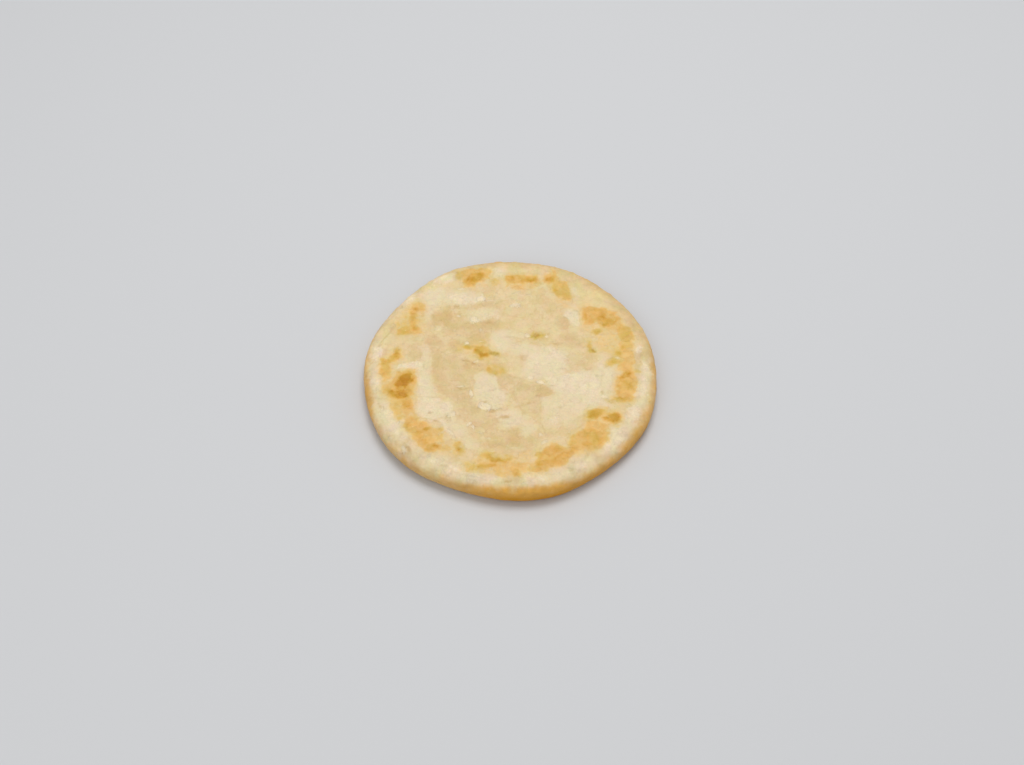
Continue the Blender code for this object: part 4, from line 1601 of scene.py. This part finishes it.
class NodeBench:
    """Lays out a material's nodes, a step at a time."""

    def __init__(self, name: str) -> None:
        """Starts a material that holds only its shader and its output.

        Args:
            name: its name.
        """
        self.material = bpy.data.materials.new(name)
        self.material.use_nodes = True
        self.tree = self.material.node_tree
        self._made = 0

    def node(self, kind: str, inputs: dict[Any, Any], **settings: Any) -> Node:
        """Adds a node.

        Args:
            kind: which node, without the words that all their names start with.
            inputs: what its inputs are fed, by name or number.
            settings: its other settings.

        Returns:
            The node.
        """
        made = self.tree.nodes.new("ShaderNode" + kind)
        made.location = (-220 * (self._made // 6) - 300, 900 - 280 * (self._made % 6))
        self._made += 1
        for name, value in settings.items():
            setattr(made, name, value)
        self.feed(made, inputs)
        return made

    def feed(self, node: Node, inputs: dict[Any, Any]) -> None:
        """Wires values into a node's inputs, or sets them to plain numbers and colours.

        Args:
            node: the node.
            inputs: what is fed into which of its inputs, by name or number.
        """
        for name, value in inputs.items():
            if isinstance(value, Value):
                self.tree.links.new(value.socket, node.inputs[name])
            else:
                plain = value.linear() if isinstance(value, Tint) else value
                node.inputs[name].default_value = plain

    def step(self, output: Any, kind: str, inputs: dict[Any, Any], **settings: Any) -> Value:
        """Adds a node, and gives one of its outputs."""
        return Value(self, self.node(kind, inputs, **settings).outputs[output])

    def layer(self, name: str) -> Value:
        """The value of one of the mesh's named layers."""
        return self.step("Fac", "Attribute", {}, attribute_name=name)

    def math(self, job: str, *values: Any) -> Value:
        """A sum of two values, such as ADD or MAXIMUM."""
        return self.step(0, "Math", dict(enumerate(values)), operation=job)

    def span(self, value: Any, start: float, end: float, low: float = 0.0, high: float = 1.0) -> Value:
        """Maps start..end softly onto low..high, and holds still outside it."""
        inputs = dict(enumerate((value, start, end, low, high)))
        return self.step("Result", "MapRange", inputs, interpolation_type="SMOOTHSTEP")

    def places(self, stretch: tuple[float, float, float] = (1.0, 1.0, 1.0)) -> Value:
        """Where a point is on the object, in millimetres, stretched along an axis if wanted."""
        spot = self.step("Object", "TexCoord", {})
        return self.step("Vector", "Mapping", {"Vector": spot, "Scale": [s / MM for s in stretch]})

    def swell(self, places: Value, length: float, detail: float, rough: float, out: str = "Fac") -> Value:
        """Soft unevenness from 0 to 1, with swells about length apart."""
        inputs = {"Vector": places, "Scale": 1 / length, "Detail": detail, "Roughness": rough}
        return self.step(out, "TexNoise", inputs)

    def cells(self, places: Value, per_mm: float, **settings: Any) -> tuple[Value, list[Value]]:
        """Splits space into cells.

        Args:
            places: where they are read.
            per_mm: how many there are in a millimetre.
            settings: the node's other settings.

        Returns:
            How far a point is from the middle of its cell, and its cell's own three values.
        """
        made = self.node("TexVoronoi", {"Vector": places, "Scale": per_mm}, **settings)
        parts = self.node("SeparateColor", {0: Value(self, made.outputs["Color"])})
        return Value(self, made.outputs["Distance"]), [Value(self, part) for part in parts.outputs]

    def scraps(self, places: Value, length: float, ragged: float) -> Value:
        """Splits space into angular scraps.

        Args:
            places: where they are read.
            length: about how wide one is.
            ragged: how far its edges waver.

        Returns:
            The scrap's own value, 0 to 1.
        """
        shift = self.swell(places, length, 3.0, 0.5, "Color")
        inputs = {0: shift, 1: (ragged, ragged, ragged), 2: places}
        moved = self.step(0, "VectorMath", inputs, operation="MULTIPLY_ADD")
        return self.cells(moved, 1 / length)[1][0]

    def mix(self, share: Any, first: Any, second: Any, way: str = "MIX") -> Value:
        """Blends two colours by a share, 0 for the first and 1 for the second."""
        return self.step(2, "Mix", {0: share, 6: first, 7: second}, data_type="RGBA", blend_type=way)

    def tinted(self, colour: Value, tint: Any) -> Value:
        """A colour multiplied by another."""
        return self.mix(1.0, colour, tint, "MULTIPLY")

    def ramp(self, value: Value, stops: Sequence[tuple[float, Tint]]) -> Value:
        """Picks a colour from a run of them.

        Args:
            value: where along the run it is, 0 to 1.
            stops: the places of the colours along it, and the colours.

        Returns:
            The colour.
        """
        made = self.node("ValToRGB", {"Fac": value})
        steps = made.color_ramp.elements
        for number, (place, tint) in enumerate(stops):
            step = steps[number] if number < 2 else steps.new(place)
            step.position, step.color = place, tint.linear()
        return Value(self, made.outputs["Color"])

    def bump(self, layers: Sequence[tuple[Value, float]]) -> Value:
        """Roughens the surface.

        Args:
            layers: the heights that do it, and how many millimetres each reaches.

        Returns:
            The direction that the surface faces.
        """
        normal: dict[str, Value] = {}
        for height, reach in layers:
            inputs = {"Height": height, "Distance": reach * MM, **normal}
            normal = {"Normal": self.step("Normal", "Bump", inputs)}
        return normal["Normal"]

    def finish(self, inputs: dict[str, Any]) -> Material:
        """Feeds the shader's inputs, by name, and gives the finished material."""
        self.feed(self.tree.nodes["Principled BSDF"], inputs)
        return self.material


@dataclass(frozen=True)
class CrustFinish:
    """Baked dough: pale and floury or moist, toasted to gold and brown, with a little oil."""

    name: str = "paratha_crust_baked"
    cream: Tint = Tint(231, 208, 161)
    deep_cream: Tint = Tint(223, 196, 145)
    pale_yellow: Tint = Tint(230, 208, 155)
    milk: Tint = Tint(232, 214, 177)
    tan: Tint = Tint(214, 180, 116)
    pane: Tint = Tint(223, 196, 149)
    deep_pane: Tint = Tint(214, 186, 135)
    rosy_pane: Tint = Tint(219, 186, 139)
    green_pane: Tint = Tint(215, 194, 142)
    flour: Tint = Tint(238, 220, 187)
    rosy: Tint = Tint(255, 252, 255)  # multiplies the colour, to make it rosier
    leafy: Tint = Tint(252, 255, 250)  # the same, greener
    leafy_rim: Tint = Tint(253, 255, 250)  # the same, on the rim
    # the side's gold, partly a painted warm reflection; side_low deepens it low down, partly as painted
    # shade
    side: Tint = Tint(222, 168, 77)
    side_low: Tint = Tint(211, 145, 6)
    # painted highlight: the colour of the glints on lifted skins and of tiny flecks
    glint: Tint = Tint(253, 228, 182)
    # painted shade, for hollows, folds and layer lines
    line: Tint = Tint(222, 206, 176)  # multiplies the colour in hollows and layer lines
    speck: Tint = Tint(150, 108, 58)
    toast: tuple[tuple[float, Tint], ...] = (
        (0.0, Tint(232, 204, 150)), (0.30, Tint(230, 197, 132)), (0.55, Tint(226, 183, 106)),
        (0.75, Tint(216, 165, 74)), (0.88, Tint(200, 144, 34)), (1.0, Tint(187, 127, 5)),
    )
    olive: Tint = Tint(204, 178, 80)
    orange: Tint = Tint(237, 176, 104)
    # how many millimetres the grain stands up, from large scraps to powder
    grain: tuple[float, ...] = (0.21, 0.11, 0.37, 0.18, 0.06)

    def make(self) -> Material:
        """Makes the material."""
        return CrustBench(self).lay()


class CrustBench(NodeBench):
    """Lays out the crust's nodes, over the unevenness that all of its colours share."""

    def __init__(self, tints: CrustFinish) -> None:
        """Starts the material.

        Args:
            tints: the finish that it gets.
        """
        super().__init__(tints.name)
        self.tints, self.spot = tints, self.places()
        self.middling = self.swell(self.spot, 2.6, 4.0, 0.6)
        self.fine = self.swell(self.spot, 0.9, 4.0, 0.62)
        self.large = self.scraps(self.spot, 3.6, 2.2)
        self.small = self.scraps(self.spot, 1.5, 1.0)

    def lay(self) -> Material:
        """Lays out the nodes.

        Returns:
            The finished material.
        """
        layer, toast = self.layer, self._toast_share()
        colour = self._toasted(self._dough(), toast)
        colour = self.mix(self._specks(), colour, self.tints.speck)
        # painted highlights: glints on the lifted skins and tiny flecks, mixed into the colour
        glint = self.math("MAXIMUM", layer("glint"), self._painted_glints())
        colour = self.mix(glint * 0.80, colour, self.tints.glint)
        # painted shade in hollows, folds and layer lines
        hollow = layer("hollow") * self.span(self.middling, 0.36, 0.60, 0.45)
        colour = self.mix(hollow, colour, self.tinted(colour, self.tints.line))
        shade = (self.fine - 0.5) * (layer("flour") * 0.20 + 0.14) + 1.0
        shade += (self.large - 0.5) * (self.span(toast, 0.05, 0.35) * 0.03 + 0.05)
        shade += layer("mottle") * 0.120
        grey = self.step(0, "CombineColor", dict.fromkeys(range(3), shade))
        powder = self.swell(self.spot, 0.35, 3.0, 0.6)
        heights = (self.large, self.small, self.middling, self.fine, powder)
        # moist panes, lifted skins and oiled toast shine a little, and floury flakes don't
        matt = self.fine * 0.16 + layer("flour") * 0.10 + 0.46
        return self.finish({
            "Base Color": self.tinted(colour, grey),
            "Roughness": matt - layer("pane") * 0.10 - glint * 0.08 - toast * 0.06,
            "Normal": self.bump(list(zip(heights, self.tints.grain))),
            "Subsurface Weight": 0.15,  # light sinks a little way into the dough
            "Subsurface Radius": (1.0, 0.6, 0.3),
            "Subsurface Scale": 0.0015,
            "IOR": 1.45,
            "Specular IOR Level": 0.32,
        })

    def _dough(self) -> Value:
        """Colours the dough before it is toasted.

        Returns:
            The colour.
        """
        tints, layer, mix, span, swell = self.tints, self.layer, self.mix, self.span, self.swell
        tone = self.large * 0.38 + self.small * 0.24 + swell(self.spot, 8.0, 3.0, 0.55) * 0.90
        tone += layer("scrap") * 0.34
        colour = mix(span(tone, 0.70, 1.27), tints.cream, tints.deep_cream)
        colour = mix(layer("cream"), colour, tints.pale_yellow)
        colour = mix(layer("milk"), colour, tints.milk)
        lean = layer("pane_lean")
        pane = mix(span(tone, 0.65, 1.15), tints.pane, tints.deep_pane)
        pane = mix(span(lean, 0.0, 1.0, 0.0, 0.6), pane, tints.green_pane)
        pane = mix(span(lean, 0.0, -1.0, 0.0, 0.6), pane, tints.rosy_pane)
        patchy = span(swell(self.spot, 4.6, 3.0, 0.6), 0.30, 0.58, 0.62)
        colour = mix(layer("pane") * patchy, colour, pane)
        colour = mix(layer("tan") * 0.50, colour, tints.tan)
        powder = (self.fine - 0.5) * 0.8 + (self.small - 0.5) * 0.45 + (self.middling - 0.5) * 1.2
        flour = layer("flour")
        colour = mix(span(flour + powder, 0.05, 1.05) * flour, colour, tints.flour)
        hue = span(swell(self.spot, 5.2, 0.6, 0.5), 0.34, 0.66)
        colour = self.tinted(colour, mix(hue, tints.rosy, tints.leafy))
        hue = span(swell(self.places((1.1, 0.9, 1.0)), 6.4, 0.4, 0.5), 0.36, 0.64)
        colour = mix(layer("rim"), colour, self.tinted(colour, mix(hue, tints.rosy, tints.leafy_rim)))
        # the side's gold, deeper low down: fried colour with painted shade and a painted warm reflection
        side = span((self.middling - 0.5) * 0.6 + layer("side"), 0.0, 1.0)
        colour = mix(side * span(layer("side"), 0.0, 0.2), colour, tints.side)
        return mix(layer("low"), colour, tints.side_low)

    def _toast_share(self) -> Value:
        """How toasted each point is, mottled finer than the mesh can hold."""
        mottle = (self.middling - 0.5) * 0.52 + (self.fine - 0.5) * 0.13 + (self.small - 0.5) * 0.06
        return mottle * self.span(self.layer("toast"), 0.04, 0.40) + self.layer("toast")

    def _toasted(self, dough: Value, toast: Value) -> Value:
        """Lays the toasted marks on the dough.

        Args:
            dough: its colour.
            toast: how toasted it is.

        Returns:
            The colour of both.
        """
        swell = self.swell(self.spot, 5.0, 1.0, 0.5)
        lean = self.layer("lean") + self.span(swell, 0.34, 0.66, -0.36, 0.5)
        marks = self.ramp(toast, self.tints.toast)
        marks = self.mix(self.math("MAXIMUM", lean, 0.0) * 0.50, marks, self.tints.olive)
        marks = self.mix(self.math("MAXIMUM", lean * -1.0, 0.0) * 0.34, marks, self.tints.orange)
        return self.mix(self.span(toast, 0.03, 0.46), dough, marks)

    def _specks(self) -> Value:
        """Where the sparse sprinkle of tiny bran specks shows."""
        gap, chances = self.cells(self.spot, 0.42)
        return self.span(gap, 0.03, 0.12, 1.0, 0.0) * self.span(chances[0], 0.86, 0.90, 0.0, 0.45)

    def _painted_glints(self) -> Value:
        """Where tiny painted highlights show: glints of light, paler than the dough that they lie on.

        Returns:
            How much of one shows.
        """
        gap, chances = self.cells(self.spot, 0.75, distance="MANHATTAN")
        size = self.span(gap, 0.22, 0.50, 1.0, 0.0) * self.span(chances[1], 0.86, 1.0, 0.0, 0.7)
        return size * (self.layer("flour") * 0.6 + 0.4)


@dataclass(frozen=True)
class FloorFinish:
    """A plain matt pale floor."""

    name: str = "pale_floor"
    pale: Tint = Tint(206, 207, 209)

    def make(self) -> Material:
        """Makes the material."""
        looks = {"Base Color": self.pale, "Roughness": 0.9, "Specular IOR Level": 0.2}
        return NodeBench(self.name).finish(looks)


# ----- The studio -----


@dataclass
class Studio:
    """A plain pale floor, soft light from above, and the viewer's camera."""

    aim: Vector = field(default_factory=lambda: Vector((1.0, -5.62, 6.5)) * MM)
    distance: float = 726.0 * MM
    elevation: float = 53.0
    lens: float = 50.0
    sensor: float = 36.0
    floor_size: float = 6.0
    lamp_distance: float = 1.3
    sky_strength: float = 0.52
    sky: Tint = Tint(255, 255, 255)

    def _hang(self, thing: Object, aim: Vector, bearing: float, elevation: float, distance: float) -> None:
        """Places a camera or a lamp so that it faces the bread.

        Args:
            thing: the camera or lamp.
            aim: the point that it faces.
            bearing: how far round that point it is, in degrees from the viewer.
            elevation: how far above the floor, in degrees.
            distance: how far off it is.
        """
        turn, level = radians(bearing), np.cos(radians(elevation))
        away = Vector((level * np.sin(turn), -level * np.cos(turn), np.sin(radians(elevation))))
        thing.location = aim + away * distance
        thing.rotation_mode = "QUATERNION"
        thing.rotation_quaternion = away.to_track_quat("Z", "Y")

    def camera(self) -> None:
        """Sets up the viewer's camera."""
        lens = bpy.data.cameras.new("viewer")
        lens.lens, lens.sensor_width = self.lens, self.sensor
        lens.clip_start, lens.clip_end = 0.01, 50.0
        camera = put("viewer", lens)
        self._hang(camera, self.aim, 0.0, self.elevation, self.distance)
        bpy.context.scene.camera = camera

    def lamp(self, name: str, bearing: float, elevation: float, watts: float, size: float) -> None:
        """Hangs one square soft lamp that faces the bread.

        Args:
            name: the lamp's name.
            bearing: how far round the bread it hangs, in degrees from the viewer.
            elevation: how far above the floor, in degrees.
            watts: its power.
            size: its side, in metres.
        """
        light = bpy.data.lights.new(name, "AREA")
        light.energy, light.size = watts, size
        self._hang(put(name, light), Vector(), bearing, elevation, self.lamp_distance)

    def floor(self, finish: Material) -> None:
        """Lays the floor under the bread.

        Args:
            finish: its material.
        """
        half = self.floor_size / 2
        mesh = bpy.data.meshes.new("floor")
        corners = [(-half, -half, 0), (half, -half, 0), (half, half, 0), (-half, half, 0)]
        mesh.from_pydata(corners, [], [(0, 1, 2, 3)])
        mesh.materials.append(finish)
        put("floor", mesh)

    def sky_light(self) -> None:
        """Fills the room with even light, and shows colours as they are."""
        world = bpy.data.worlds.new("room")
        world.use_nodes = True
        back = world.node_tree.nodes["Background"]
        back.inputs["Color"].default_value = self.sky.linear()
        back.inputs["Strength"].default_value = self.sky_strength
        scene = bpy.context.scene
        scene.world = world
        scene.view_settings.view_transform = "Standard"
        scene.view_settings.look = "None"

    def build(self) -> None:
        """Sets up the room, the lamps and the camera."""
        self.sky_light()
        self.floor(FloorFinish().make())
        self.lamp("key", 162.0, 74.0, 8.1, 0.7)
        self.lamp("fill", -30.0, 42.0, 2.8, 1.0)
        self.camera()


# ----- The whole scene -----


def main() -> None:
    """Builds the bread and its setting, in order."""
    logging.basicConfig(level=logging.INFO, format="%(name)s: %(message)s")
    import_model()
    Studio().build()
    crust = Crust(form=BreadForm(*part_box(NODE)), noise=DoughNoise(seed=11))
    finish = CrustFinish().make()
    bread = crust.build(finish)
    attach(bread, BODY)
    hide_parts(NODE)
    skins = LiftedSkins(crust).build(finish)
    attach(skins, BODY)
    for piece in (bread, skins):
        log.info("%s: %d points, %d faces", piece.name, len(piece.data.vertices), len(piece.data.polygons))


if __name__ == "__main__":
    main()
